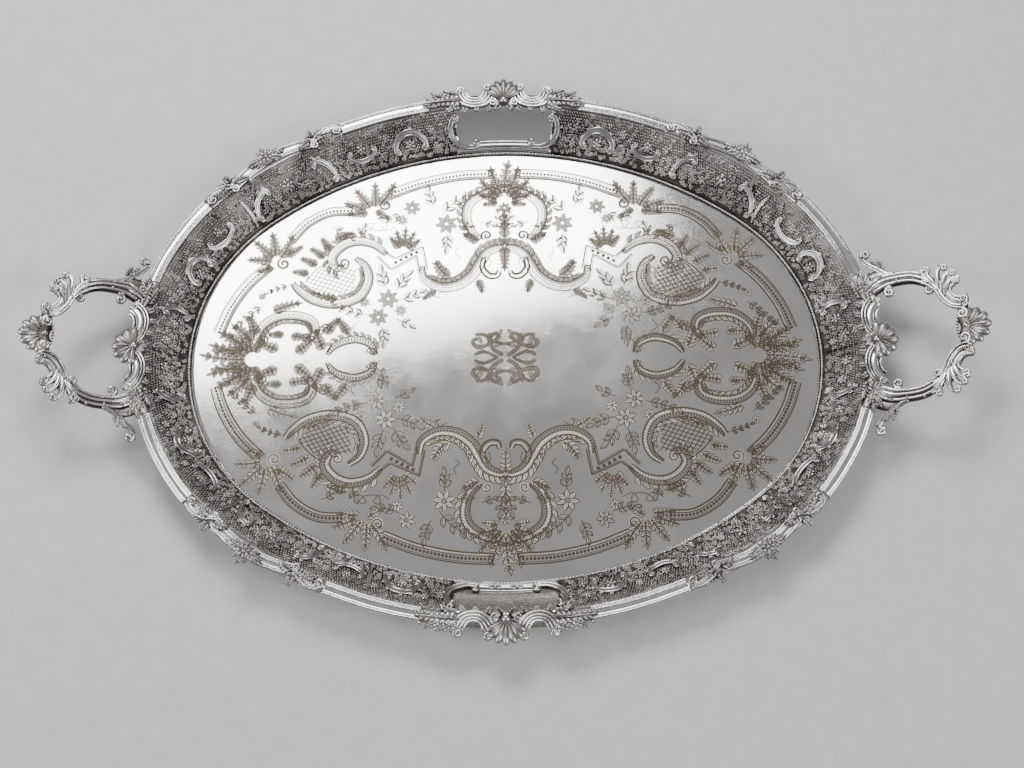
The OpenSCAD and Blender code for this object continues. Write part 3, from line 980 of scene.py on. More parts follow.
def build_corner_mounts():
    """Cast corner mounts: a reeded lobe between two cusps, leafy flanks, and a knot of flowers."""
    form = Form()
    low_cusp, high_cusp = 157.0, 230.0
    profile, shade = reed_profile(RIM_IN + 0.6, RIM_OUT - 1.0)
    lobe = np.linspace(low_cusp, high_cusp, 80)
    share = (lobe - low_cusp) / (high_cusp - low_cusp)
    swept(form, profile, lobe, on_rim, shade, -2.2 + 5.0 * np.sin(math.pi * share), 0.6)
    mount_bed(form, np.linspace(CORNER_MEETS, REED_MEETS, 90), 0.8)
    detail = Form()
    corner_flank(detail, low_cusp, -1, CORNER_MEETS)
    corner_flank(detail, high_cusp, 1, REED_MEETS)
    corner_knot(detail, np.array([CORNER_MID, 42.0]))
    form.join(detail.placed(on_rim))
    make_quarters("corner_mount", "_cast", form, CAST_METAL)


def shell_mount_half():
    """A reeded C-scroll that opens outwards, and the leaves beside it; x runs from the mount's middle."""
    form = Form()
    centre = np.array([23.5, 45.5])
    angle = np.radians(np.linspace(172, 372, 44))
    swell = np.clip(np.sin(np.linspace(0.25, math.pi - 0.25, 44)) * 1.6, 0.4, 1)
    for r, wide in ((15.4, 1.5), (12.5, 1.35), (9.8, 1.35), (7.2, 1.4)):
        path = centre + r * np.stack([np.cos(angle), 0.92 * np.sin(angle)], 1)
        tube(form, path, wide * swell, 1.9, 1.7 + (15.4 - r) * 0.08)
    volute(form, centre + [-10.5, 4.2], 3.4, -1, 200, 1.3, 1.7, 2.2)
    volute(form, centre + [11.0, 3.4], 3.1, 1, -20, 1.2, 1.6, 2.0)
    # Leaves from the scroll out to the reeding
    leaf(form, (34, 38), 4, 33, 6.8, -4, 7, 1.8, 2.1)
    leaf(form, (36, 43), 14, 15, 4.8, 24, 4, 1.8, 2.0)
    leaf(form, (36, 33.5), -10, 16, 4.2, -20, 4, 1.6, 1.7)
    leaf(form, (47, 41), 20, 15, 4.6, 30, 4, 1.8, 1.9)
    leaf(form, (54, 37.5), 0, 14, 4.4, 0, 4, 1.9, 1.8)
    domes(form, [(38.5, 48.2), (50.5, 48.0), (62.5, 44.6)], 1.4, 1.8, 1.6)
    leaf(form, (37, 41), 62, 8.8, 3.6, 18, 3, 1.8, 1.8)
    # Leaves beneath the scroll on the border
    for x, heading, length in ((14, 250, 7), (23, 268, 6), (32, 290, 7)):
        leaf(form, (x, 32.5), heading, length, 3.0, 0, 3, 0.8, 1.3)
    return form


def build_shell_mounts():
    """The long sides' mounts: a shell between two C-scrolls, with leaves along the rim."""
    form = Form()
    mount_bed(form, np.linspace(SHELL_MEETS, 2 * AXIS_ALONG - SHELL_MEETS, 80), 0.6)
    top = shell_mount_half()
    top.join(top.mirrored(x=True))
    shell(top, (0, 36.5), 90, 21.3, 52, 7, 2.0, 2.5, 0.2)
    domes(top, [(0, 35.2), (-5.2, 33.6), (5.2, 33.6)], [3.0, 2.0, 2.0], [3.2, 2.4, 2.4], 1.6)
    for side in (-1, 1):
        volute(top, (side * 9.2, 35.0), 3.6, side, 90, 1.3, 1.8, 2.0)
        leaf(top, (side * 3, 33), 270 + side * 34, 8.5, 3.6, side * 20, 3, 1.0, 1.6)
    form.join(top.placed(from_axis).placed(on_rim))
    for sy, name in ((1, "shell_mount_back"), (-1, "shell_mount_front")):
        make_object(name + "_cast", form.mirrored(y=sy < 0), CAST_METAL, [name])


# ---- handles and their mounts ----


def reeded_arm(form, knots, half_w, half_h, n=70, reeds=3, lift=0.0):
    """A round bar with reeds along its upper side and underside."""
    path = spline(knots, n)
    half_w = np.interp(np.linspace(0, 1, n), np.linspace(0, 1, len(half_w)), half_w)
    tube(form, path, half_w, half_h, lift, sides=14, relief=0.35)
    for at in np.linspace(-0.66, 0.66, reeds):
        proud = half_h * math.sqrt(1 - at * at) * 0.93
        for face in (1, -1):
            tube(form, offset_path(path, half_w * at), half_w * 0.72 / reeds, half_h * 0.24,
                 lift + face * proud)


def curled_lobe(form, knots, half_w, half_h, curl, turned, lift):
    """A leaf lobe that swells from its root and rolls up at its tip."""
    path = spline(knots, 26)
    share = np.linspace(0, 1, 26)
    swell = 0.45 + 0.55 * np.sin(math.pi * share ** 0.8)
    tube(form, path, half_w * swell, half_h * swell, lift + share * 0.6, relief=1.0)
    tube(form, offset_path(path, half_w * 0.5), half_w * 0.28, half_h * 0.5, lift + half_h * 0.55)
    facing = heading_of(path[-1] - path[-3])
    centre = path[-1] + curl * direction(facing + turned * 90)
    volute(form, centre, curl, turned, facing - turned * 90, half_w * 0.55, half_h * 0.8, lift + 0.5,
           1.15)


def handle_arm(form):
    """The arm, round and reeded, from the root to where the leaves begin, with the volutes inside it."""
    reeded_arm(form, [(-4, 46), (6, 50.5), (15, 51.6), (27, 51.4), (36, 48.6), (44, 43.5)],
               [6.6, 6.4, 5.6, 5.4, 5.2, 4.6], 4.3)
    for at in ((16.5, 54.6), (18.0, 48.8), (30.5, 55.6), (32.0, 50.0)):
        domes(form, at, 1.5, 2.2, 3.0)
    volute(form, (42.6, 37.2), 3.8, -1, 60, 1.6, 2.2, 0.4, 1.3)
    tube(form, spline([(49.5, 41.5), (45.5, 41.8), (42.4, 41.0)], 12), 1.8, 2.4, 0.4)
    volute(form, (10.8, 40.8), 4.4, 1, 60, 1.7, 2.3, 0.6, 1.3)
    tube(form, spline([(2, 46.5), (7.5, 46.8), (12.8, 45.0)], 12), 2.0, 2.4, 0.6)


def handle_outer_scroll(form):
    """The scroll from the arm to the shell: belly, hollow and lip, and a fan of rolled lobes."""
    belly = spline([(38, 45.5), (45, 41.5), (50.3, 35), (54, 27), (60, 20.4), (66.5, 18.2),
                    (70.8, 20.6)], 50)
    middle = spline([(50, 44), (54, 37.5), (57.2, 30), (62, 24.4), (67, 22.6)], 40)
    lip = spline([(63.4, 38.4), (60.2, 35.5), (59.8, 31), (63, 26.6), (68, 24.8)], 30)
    tube(form, belly, 2.0, 3.4, 0.8)
    tube(form, offset_path(belly, -2.6), 0.9, 2.0, 3.0)
    swell = np.interp(np.linspace(0, 1, 40), [0, 0.5, 1], [3.6, 4.6, 3.0])
    tube(form, middle, swell, 3.2, -0.4, sides=12, relief=0.75)
    tube(form, lip, 1.4, 3.0, 1.6)
    volute(form, (65.0, 40.2), 3.0, -1, 200, 1.4, 2.4, 2.2, 1.2)
    volute(form, (69.2, 23.2), 3.4, 1, -70, 1.6, 2.6, 2.2, 1.3)
    for knots, half_w, half_h, curl, turned, lift in (
            ([(50, 35), (46.5, 43), (43.0, 49.0), (44.2, 53.5)], 2.3, 2.4, 2.6, 1, 1.8),
            ([(51.5, 34), (50.5, 43), (51.0, 50), (54.0, 55.0)], 2.5, 2.6, 2.7, -1, 2.0),
            ([(53.5, 32), (54.2, 40), (56.6, 46), (61.0, 49.6)], 2.4, 2.6, 2.5, -1, 1.8),
            ([(55.5, 29), (56.6, 36), (59.6, 41), (64.5, 44.2)], 2.1, 2.4, 2.2, -1, 1.6),
            ([(48, 38), (43.5, 44), (39.8, 48.0), (39.6, 52.4)], 1.8, 2.2, 2.0, 1, 2.6)):
        curled_lobe(form, knots, half_w, half_h, curl, turned, lift)


def handle_root(form):
    """The leaves that wrap the root and spread over the rim, and the tendril that curls back over it."""
    wrap = spline([(-15, 44), (-9, 53), (1, 58), (11, 56)], 24)
    tube(form, wrap, np.linspace(5.5, 4.0, 24), 2.2, -0.6, sides=10, relief=0.5)
    for start, heading, length, width, bend, lift in (
            ((-14, 38), 44, 27, 5.2, -8, 3.0), ((-14, 40), 66, 23, 5.0, -6, 2.6),
            ((-15, 42), 88, 21, 4.6, -8, 1.6), ((-13, 38), 24, 22, 4.4, 14, 2.4),
            ((-15, 41), 106, 19, 4.0, 0, 0.6)):
        leaf(form, start, heading, length, width, bend, 6, lift, 2.3, 1.2)
    tendril = spline([(17, 56.0), (10, 58.4), (3, 64), (-4.5, 70.0), (-9.2, 75.5)], 30)
    tube(form, tendril, np.linspace(2.2, 1.7, 30), np.linspace(2.4, 1.6, 30), np.linspace(0.8, -0.4, 30))
    tube(form, offset_path(tendril, 2.2), np.linspace(0.9, 0.6, 30), 1.2, np.linspace(0.6, -0.4, 30))
    volute(form, (-6.2, 78.4), 3.8, -1, 200, 1.6, 1.8, -0.4, 1.2)
    leaf(form, (6.5, 61.5), 100, 11.5, 3.6, 16, 4, 0.2, 1.8)
    leaf(form, (1.5, 64.5), 112, 9.0, 3.0, 10, 3, 0.0, 1.6)


def handle_half():
    """The handle's half on the positive y side, lying in the handle's own plane."""
    form = Form()
    handle_arm(form)
    handle_outer_scroll(form)
    handle_root(form)
    # A leaf and a volute beside the shell, and the bar beneath it
    leaf(form, (66, 17), 48, 12.5, 4.2, 20, 4, 2.0, 2.1, 0.6)
    bar = spline([(68.5, 20), (67.0, 13), (67.2, 6), (68.4, -1)], 26)
    tube(form, bar, 4.0, 3.8, -0.2, sides=12, relief=0.4)
    volute(form, (66.8, 10.6), 4.6, -1, 90, 1.7, 2.4, 2.4, 1.3)
    return form


def build_handles():
    """Cast bow handles of leafy scrolls with a shell at the outer bar, rising from the rim at both ends."""
    half = handle_half()
    flat = Form().join(half).join(half.mirrored(y=True))
    shell(flat, (68.5, 0), 0, REACH - 69.2, 74, 7, -0.95, 2.6, 0.16)
    tube(flat, spline([(66, -9), (70, 0), (66, 9)], 20), 5.0, 3.6, -0.2, sides=12, relief=0.35)
    domes(flat, (68.2, 0), 2.9, 4.2, 1.6, sides=14, rings=4)
    beads_at = np.linspace(-8, 8, 7)
    domes(flat, np.stack([61.6 + 0.02 * beads_at ** 2, beads_at], 1), 1.35, 2.0, 1.4)
    right = flat.placed(on_handle)
    make_object("handle_right_cast", right, CAST_METAL, ["handle_right"])
    make_object("handle_left_cast", right.mirrored(x=True), CAST_METAL, ["handle_left"])


def end_mount_half():
    """C-scroll bars beside the shell and the leaves beyond them; x runs outwards at the handle."""
    form = Form()
    centre = np.array([8.5, 20.5])
    for r, wide, lift in ((22.6, 1.1, 2.6), (20.2, 0.8, 2.6), (15.6, 3.6, 2.2), (10.8, 1.2, 2.8)):
        angle = np.radians(np.linspace(118 if r > 12 else 128, 232, 34))
        tube(form, centre + r * rays(angle), wide, 2.0, lift, relief=1.1)
    volute(form, (-1.5, 36.5), 3.4, -1, 20, 1.3, 2.0, 2.8)
    volute(form, (-3.5, 6.0), 3.2, 1, -20, 1.3, 2.0, 2.8)
    for at, heading, length, width, bend in (
            ((-9, 38), 104, 21, 4.6, 6), ((-5, 40), 90, 17, 4.2, 14), ((-13, 37), 116, 19, 4.0, 2),
            ((-9, 50), 100, 15, 3.8, 10), ((-13, 30), 150, 7, 3.0, 0), ((-14.5, 22), 176, 6, 2.8, 0),
            ((-13, 12), 196, 6, 2.8, 0)):
        leaf(form, at, heading, length, width, bend, 5, 2.2, 2.1, 0.4)
    for y in (27.0, 30.5, 33.5):
        domes(form, (-13.2 + (y - 27) * 0.5, y), 1.2, 1.8, 2.4)
    return form


def build_end_mounts():
    """The end rims' mounts: a shell on the axis between C-scroll bars, with leaves out to the reeding."""
    form = Form()
    mount_bed(form, np.linspace(-END_MEETS, END_MEETS, 70), 0.6, 2.4, 1.6)
    level = end_mount_half()
    level.join(level.mirrored(y=True))
    shell(level, (-4.0, 0), 0, 18.6, 82, 7, 3.2, 2.6, 0.1)
    shell(level, (-5.5, 0), 180, 9.5, 60, 5, 2.2, 2.0, 0.24)
    domes(level, (-3.5, 0), 3.0, 4.6, 3.2, sides=14, rings=4)
    form.join(level.placed(at_hinge))
    make_object("end_mount_right_cast", form, CAST_METAL, ["end_mount_right"])
    make_object("end_mount_left_cast", form.mirrored(x=True), CAST_METAL, ["end_mount_left"])


# ---- the well's engraving ----

# Tone of the light shading inside engraved leaves, between the dark lines at 0 and bare metal at 1
SHADE = 0.5


def cut(form, path, width, taper=1.0, tone=0.0):
    """One graver's stroke: a shallow ridge, thin at its ends; a higher tone is a lighter stroke."""
    path = np.asarray(path, float)
    n = len(path)
    swell = 1 - taper + taper * np.clip(np.sin(math.pi * np.linspace(0.03, 0.97, n)), 0.08, 1) ** 0.6
    dark = tone < 0.3
    side = normals(path) * ((0.65 if dark else 0.5) * width * swell)[:, None]
    foot, crest = (0.035, 0.1) if dark else (0.0, 0.03)
    rows = np.stack([path + side, path, path - side], 1)
    up = np.tile([foot, crest, foot], (n, 1))
    points = np.concatenate([rows, up[..., None]], 2).reshape(-1, 3)
    form.add(points, np.tile([tone, tone + 0.06, tone], n), grid_faces(n, 3))


def cut_ring(form, centre, r, points, width):
    """A round line."""
    cut(form, centre + r * rays(np.linspace(0, 2 * math.pi, points)), width, 0.2)


def arc(start, heading, length, bend, n=8):
    """A single bend as a path; angles in degrees."""
    shares = np.linspace(0, 1, n)
    return curve_points(np.asarray(start, float), math.radians(heading), math.radians(bend), length,
                        shares)


def step_out(start, heading, by):
    """The point a distance from start along a heading in degrees."""
    return np.asarray(start, float) + by * direction(heading)


def cut_dots(form, path, pitch, r):
    """A row of dots along a path."""
    run = np.concatenate([[0], np.cumsum(np.linalg.norm(np.diff(path, axis=0), axis=1))])
    at = np.arange(pitch / 2, run[-1], pitch)
    centres = np.stack([np.interp(at, run, path[:, i]) for i in (0, 1)], 1)
    for centre in centres:
        cut(form, centre + np.array([[-r, 0], [0, 0], [r, 0]]), r * 2, 0.6)


def cut_band(form, knots, n, half_w, dots=True, leafy=0):
    """A double-lined, hatched scroll through knots; leafy puts leaves on its left (1) or right (-1)."""
    path = spline(knots, n)
    swell = 0.3 + 0.7 * np.sin(math.pi * np.linspace(0.02, 0.98, n)) ** 0.5
    left = offset_path(path, half_w * swell)
    right = offset_path(path, -half_w * swell)
    inner = offset_path(path, -half_w * swell * 0.4)
    cut(form, offset_path(path, -half_w * swell * 0.6), half_w * 0.75, 0.5, SHADE)
    cut(form, left, 1.0, 0.3)
    cut(form, right, 1.2, 0.3)
    cut(form, offset_path(path, half_w * swell * 0.6), 0.6, 0.3)
    if dots:
        cut_dots(form, offset_path(path, half_w * 0.1), 2.5, 0.9)
    for i in range(2, n - 2, 2):
        cut(form, np.stack([right[i], 0.5 * (right[i] + inner[i]), inner[i]]), 0.62)
    if leafy:
        for i in range(int(n * 0.12), int(n * 0.86), 5):
            facing = heading_of(path[i + 1] - path[i])
            side = left if leafy > 0 else right
            cut_lobe(form, side[i], facing + leafy * 52, 2.1 * half_w, -leafy * 46, 0.9 * half_w)


def cut_lobe(form, root, heading, length, bend, width):
    """One leaf lobe: a shaded body, a strong outer line, a finer inner line and, if long, a vein."""
    spine = arc(root, heading, length, bend, 8)
    swell = np.sin(np.linspace(0.5, math.pi, 8)) * width * 0.5
    line = min(0.85, 0.15 + 0.2 * width)
    cut(form, spine, width, 0.8, SHADE)
    cut(form, offset_path(spine, -swell), line, 0.5)
    cut(form, offset_path(spine, swell), 0.76 * line, 0.5)
    if length > 4.5:
        cut(form, spine[:6], 0.5, 0.6)


def cut_leaf(form, start, heading, length, width, bend=0, lobes=5):
    """An engraved acanthus leaf: a shaded midrib and pairs of curled lobes that shrink to the tip."""
    start = np.asarray(start, float)
    spine = arc(start, heading, length, bend, 14)
    cut(form, spine, width * 0.5, 0.8, SHADE)
    share = (np.arange(lobes) + 0.2) / (lobes + 0.6)
    roots = curve_points(start[None, :], math.radians(heading), math.radians(bend), length, share)
    for i, root in enumerate(roots):
        facing = heading + bend * share[i]
        reach = width * (1.1 - 0.55 * share[i])
        for side in (1, -1):
            cut_lobe(form, root, facing + side * 28, reach, side * 36, reach * 0.5)
    cut(form, spine, 0.7)
    cut_lobe(form, roots[-1], heading + bend * 0.9, length / (lobes + 0.6) * 1.5, 0, width * 0.32)


def cut_leaves(form, rows):
    """Leaves from rows of (root, heading, length, width, bend)."""
    for row in rows:
        cut_leaf(form, *row)


def cut_sprig_leaf(form, start, heading, length, bend=24):
    """A pointed leaf with a shaded half and a midrib."""
    spine = arc(start, heading, length, bend, 8)
    swell = np.sin(np.linspace(0.25, math.pi, 8)) * length * 0.22
    cut(form, offset_path(spine, swell * 0.5), length * 0.26, 0.9, SHADE - 0.15)
    cut(form, offset_path(spine, swell), 0.7, 0.6)
    cut(form, offset_path(spine, -swell), 0.7, 0.6)
    cut(form, spine, 0.45, 0.6)


def cut_sprig(form, start, heading, length, bend, pairs=3, size=7.0):
    """A stem with pairs of pointed leaves and one at its tip."""
    cut(form, arc(start, heading, length, bend, 14), 0.7, 0.5)
    start = np.asarray(start, float)
    for k in range(pairs):
        share = (k + 0.7) / (pairs + 0.4)
        root = curve_points(start, math.radians(heading), math.radians(bend), length, share)
        for side in (1, -1):
            facing = heading + bend * share + side * 48
            cut_sprig_leaf(form, root, facing, size * (1.1 - 0.35 * share), -side * 26)
    end = arc(start, heading, length, bend, 3)[-1]
    cut_sprig_leaf(form, end, heading + bend, size, 10)


def cut_flower(form, centre, r, petals=7, spin=0.0):
    """An open flower with a ring at its middle."""
    for k in range(petals):
        head = spin + 360 * k / petals
        cut_lobe(form, step_out(centre, head, 0.22 * r), head, r * 0.8, 0, r * 0.42)
    cut_ring(form, np.asarray(centre, float), 0.2 * r, 11, 0.7)


def cut_palmette(form, root, heading, reach, spread, ribs):
    """A fan of shaded lobes about a small boss."""
    root = np.asarray(root, float)
    width = reach * math.radians(2 * spread / ribs) * 0.62
    for angle in np.linspace(-spread, spread, ribs):
        length = reach * (1 - 0.36 * (abs(angle) / spread) ** 1.4)
        cut_lobe(form, root, heading + angle, length, angle * 0.3, width)
    for r in (reach * 0.08, reach * 0.15):
        cut_ring(form, root, r, 17, 0.8)


def cut_volute(form, centre, r, start, turned=1):
    """An engraved spiral, shaded beneath its line."""
    t = np.linspace(0, 1, 34)
    angle = math.radians(start) + turned * t * math.radians(500)
    path = np.asarray(centre, float) + (r * (1 - 0.85 * t))[:, None] * rays(angle)
    cut(form, path, r * 0.5, 0.4, SHADE)
    cut(form, path, 1.0, 0.5)


def engraved_band(form, knots, half_w=4.6):
    """The dotted border band along a path: outlined, lined within, shaded at its outer side and dotted."""
    path = spline(knots, 90)
    cut(form, offset_path(path, -half_w * 0.75), half_w * 0.5, 0.1, SHADE)
    for at, width in ((half_w, 0.95), (half_w * 0.66, 0.5), (-half_w * 0.45, 0.7), (-half_w, 1.1)):
        cut(form, offset_path(path, at), width, 0.1)
    cut_dots(form, offset_path(path, half_w * 0.08), 3.1, 1.2)
    outer, inner = offset_path(path, -half_w), offset_path(path, -half_w * 0.5)
    for i in range(0, 90, 2):
        cut(form, np.stack([outer[i], 0.5 * (outer[i] + inner[i]), inner[i]]), 0.45)


def engraved_border(form):
    """The dotted border band, in three lengths parted by leafy clusters."""
    engraved_band(form, [(9, 175), (40, 173), (72, 166), (100, 155)])
    engraved_band(form, [(131, 139.5), (152, 138), (171, 127), (184, 111)], 4.2)
    engraved_band(form, [(200, 88), (218, 70), (232, 48), (241, 24)])
    cut_volute(form, (103, 145), 5.4, 70, -1)
    cut_volute(form, (189, 89), 5.6, 60, -1)
    cut_leaves(form, [
        ((108, 145), 128, 26, 7.5, -16), ((112, 143), 92, 25, 7.0, -8), ((116, 142), 56, 24, 7.0, -6),
        ((120, 140), 26, 21, 6.5, -10), ((118, 138), -12, 19, 6.0, 14), ((112, 139), 200, 15, 5.0, 30),
        ((192, 94), 122, 25, 7.0, -16), ((196, 96), 84, 24, 7.0, -10), ((198, 94), 48, 25, 7.0, -8),
        ((199, 91), 12, 22, 6.5, -14), ((188, 97), 160, 18, 6.0, -24), ((198, 86), -28, 15, 5.0, 20),
    ])


def engraved_short_axis(form):
    """The scrolled ring on the short axis, and the S-scroll beneath it that runs up into an arch."""
    cut_band(form, [(20, 111), (29, 120), (33, 134), (30, 146), (20, 154), (8, 158), (3, 152)], 70, 4.0,
             leafy=-1)
    cut_volute(form, (15.5, 114.5), 5.0, -60, 1)
    cut_leaf(form, (22, 110), 8, 15, 6.5, 40, 4)
    cut_band(form, [(71, 86), (68.5, 74), (56, 66), (41, 67), (28, 76), (21, 88), (15, 98), (6, 102.5),
                    (0.5, 102.5)], 110, 4.4, leafy=-1)
    cut_band(form, [(17.5, 94), (19, 84), (14, 76.5), (7, 76), (4.5, 81)], 50, 2.6, dots=False)
    cut_leaf(form, (46, 76), 20, 21, 8.0, 60)
    cut_leaf(form, (24, 72), 230, 14, 5.5, 40, 4)
    cut_leaf(form, (58, 62), -20, 15, 5.5, -30, 4)


def engraved_strapwork(form):
    """A bent double bar set with small squares, and the fan of leaves on its peak."""
    outer_bar = np.array([(66, 82), (70, 104.5), (94, 93.5), (104, 101)])
    inner_bar = np.array([(72.5, 80), (75.5, 96), (97, 83), (109, 96)])
    for bar in (outer_bar, inner_bar):
        for a, b in zip(bar[:-1], bar[1:]):
            line = a + (b - a) * np.linspace(0, 1, 8)[:, None]
            cut(form, line, 1.1, 0.1)
            cut(form, offset_path(line, -1.5), 0.5, 0.1)
    between = (outer_bar + inner_bar) / 2
    for k in np.linspace(0.12, 0.9, 5):
        spot = between[1] + (between[2] - between[1]) * k
        cut(form, spot + np.array([(-1.3, 0.6), (0, 0), (1.3, -0.6)]), 2.4, 0.1)
    for head, length in ((150, 15), (122, 18), (96, 20), (70, 18), (44, 15)):
        cut_leaf(form, step_out((87, 100.5), head, 3.5), head, length, 5.5, (90 - head) * 0.3, 4)


def cut_lattice(form, middle, corners, pitch):
    """Crossed lines inside a plot whose corners run clockwise."""
    for slant in (0.35, -1.6):
        lean = math.hypot(1, slant)
        for k in np.arange(-14, 15):
            start = middle + np.array([k * pitch * lean / abs(slant), 0])
            line = start + np.outer(np.linspace(-60, 60, 140), [1.0, slant]) / lean
            inside = np.ones(140, bool)
            for a, b in zip(corners, np.roll(corners, -1, 0)):
                inside &= (b[0] - a[0]) * (line[:, 1] - a[1]) - (b[1] - a[1]) * (line[:, 0] - a[0]) < 0
            if inside.sum() > 2:
                cut(form, line[inside][[0, inside.sum() // 2, -1]], 0.7, 0.1)


def engraved_crescent(form):
    """The crescent of two C-scrolls with a lattice between them."""
    cut_band(form, [(101, 97), (112, 106.5), (127, 110), (140, 105), (147.5, 94.5), (144, 85),
                    (137, 84.5)], 70, 4.2, leafy=1)
    cut_band(form, [(128, 94), (119, 86), (116, 72), (124, 56.5), (143, 50.5), (162, 54), (175, 63.5),
                    (181, 71)], 90, 4.0, leafy=1)
    cut_volute(form, (137.5, 89), 5.0, -80, -1)
    cut(form, spline([(149, 92), (160, 84), (170, 73)], 16), 0.9, 0.2)
    plot = np.array([(126, 84), (150, 91), (171, 72), (158, 59), (128, 60)])
    cut_lattice(form, np.array([147, 72]), plot, 3.7)
    cut_leaves(form, [
        ((150, 100), 70, 16, 6, -20), ((154, 94), 44, 17, 6, -16), ((160, 87), 30, 17, 6, -10),
        ((167, 79), 14, 15, 5.5, -10), ((142, 55), 10, 26, 6, 16), ((146, 112), 150, 18, 6, 24),
    ])


def engraved_end(form):
    """The arched scrolls by the handle axis, with leaves about them."""
    cut_band(form, [(166, 16), (160, 24), (162, 34), (173, 39.5), (190, 39.5), (203, 32), (208.5, 21),
                    (203, 14)], 90, 3.8, leafy=-1)
    cut_volute(form, (166.5, 20), 4.4, -100, 1)
    cut_volute(form, (203, 18.5), 4.4, -80, -1)
    cut_band(form, [(108, 3), (113, 13), (126, 17.5), (141, 13), (149, 4)], 60, 3.2, leafy=1)
    cut_volute(form, (112, 6), 4.0, -20, 1)
    cut_leaves(form, [
        ((196, 44), 150, 26, 7.0, 24), ((214, 12), 20, 30, 9.0, 14), ((214, 9), -4, 32, 9.0, 6),
        ((212, 16), 50, 25, 8.0, -16), ((210, 22), 80, 20, 7.0, -20), ((190, 8), 30, 20, 7.0, -24),
        ((176, 6), 150, 20, 7.0, -20), ((152, 8), 60, 20, 7.0, 20), ((150, 22), 110, 20, 6.5, 30),
        ((132, 22), 70, 18, 6.5, -30), ((180, 22), 200, 18, 6.0, -30), ((186, 24), -20, 14, 5.5, 30),
    ])


def engraved_sprays(form, rng):
    """Flower sprays between the scrolls, and a few loose tendrils."""
    for at, r in (((50, 126), 9.5), ((80, 142), 7.5), ((99, 55), 9.0), ((107, 38), 8.5), ((88, 130), 5.0),
                  ((88, 44), 5.5), ((206, 58), 3.6), ((119, 52), 5.0)):
        cut_flower(form, at, r, 7, rng.uniform(0, 50))
    for spray in (
            ((54, 134), 120, 32, 40, 3, 9), ((60, 142), 60, 16, 20, 2, 8),
            ((50, 118), -100, 14, 16, 2, 8), ((86, 136), -30, 18, 30, 2, 7),
            ((40, 124), 180, 8, 0, 1, 7), ((92, 62), 110, 16, 20, 2, 9), ((100, 64), 64, 16, 16, 2, 9),
            ((90, 54), 170, 18, -20, 2, 8), ((104, 30), -110, 14, 20, 2, 8),
            ((116, 40), 10, 26, 14, 3, 7), ((92, 36), 200, 12, 10, 1, 8),
            ((146, 34), -60, 12, 40, 2, 7), ((182, 68), -8, 20, -20, 3, 4.6),
            ((204, 50), -36, 28, -10, 4, 5.6), ((20, 128), 200, 9, 0, 1, 6),
            ((150, 124), 200, 20, 20, 2, 6), ((124, 112), 90, 10, 20, 1, 7)):
        cut_sprig(form, *spray)
    for knots in ([(94, 124), (102, 120), (107, 126), (102, 128), (103, 121), (114, 121), (119, 126),
                   (113, 127), (118, 120), (128, 124)],
                  [(40, 104), (42, 98), (38, 94), (41, 90)],
                  [(14, 84), (12, 90), (15, 94)],
                  [(124, 34), (128, 28), (124, 22)],
                  [(48, 58), (54, 61), (57, 57), (54, 55), (60, 57)]):
        cut(form, spline(knots, 50), 0.6, 0.3)


def engraved_quarter(seed):
    """The engraving in one quarter of the well, between the axes."""
    form = Form()
    engraved_border(form)
    engraved_short_axis(form)
    engraved_strapwork(form)
    engraved_crescent(form)
    engraved_end(form)
    engraved_sprays(form, np.random.default_rng(seed))
    return form


def device_quarter():
    """A quarter of the generic device in the well's middle: crossed scrolls with small leaves."""
    form = Form()
    for knots, wide in (([(2, 2), (10, 8), (13, 17), (8, 22), (4.5, 18.5)], 1.3),
                        ([(4, 20), (14, 12), (24, 10), (27, 15), (23, 18)], 1.3),
                        ([(0, 12), (9, 15), (19, 21), (25, 20.5)], 0.9),
                        ([(6, 0), (17, 5), (26, 2.5)], 0.9)):
        path = spline(knots, 36)
        cut(form, path, wide * 1.6, 0.3, 0.2)
        cut(form, offset_path(path, wide), 0.8, 0.3)
        cut(form, offset_path(path, -wide), 0.8, 0.3)
    for at, head, length in (((13, 14), 70, 9), ((20, 12), 60, 8), ((9, 10), 150, 7), ((17, 5), 20, 9),
                             ((6, 20), 110, 7)):
        cut_sprig_leaf(form, at, head, length, 30)
    return form


def engraved_axes():
    """Leafy palmettes on the four axes and the device in the middle."""
    form = Form()
    for side in (1, -1):
        for spread, length, width in ((0, 34, 9), (26, 30, 8), (52, 24, 7), (80, 18, 6), (108, 14, 5)):
            for hand in ((1, -1) if spread else (1,)):
                up, away = side * (90 + hand * spread), 90 - side * 90 + hand * spread
                cut_leaf(form, step_out((0, side * 149), up, 6), up, length, width, -side * hand * 14)
                cut_leaf(form, step_out((side * 211, 0), away, 6), away, length * 1.15, width, -hand * 14)
        cut_leaf(form, (0, side * 112), side * 90, 26, 7)
        cut_flower(form, (0, side * 141), 6.0)
        for turn in (64, 116):
            cut_sprig(form, (0, side * 118), side * turn, 18, side * (20 if turn < 90 else -20), 2, 7)
        cut_leaf(form, (0, side * 104), -side * 90, 24, 7)
        cut_palmette(form, (0, side * 107), side * 90, 9, 70, 5)
    for sx, sy in QUARTERS.values():
        form.join(device_quarter().mirrored(sx < 0, sy < 0))
    return form


def build_engraving():
    """The engraving in three pieces: the right half, the left half, and what stands on the axes."""
    sides = {"right": (("ne", 7), ("se", 11)), "left": (("nw", 13), ("sw", 17))}
    for name, quarters in sides.items():
        form = Form()
        for quarter, seed in quarters:
            sx, sy = QUARTERS[quarter]
            form.join(engraved_quarter(seed).mirrored(sx < 0, sy < 0))
        make_object("engraving_" + name, form.placed(on_plate), CUT_METAL)
    make_object("engraving_middle", engraved_axes().placed(on_plate), CUT_METAL)


# ---- floor, light and camera ----


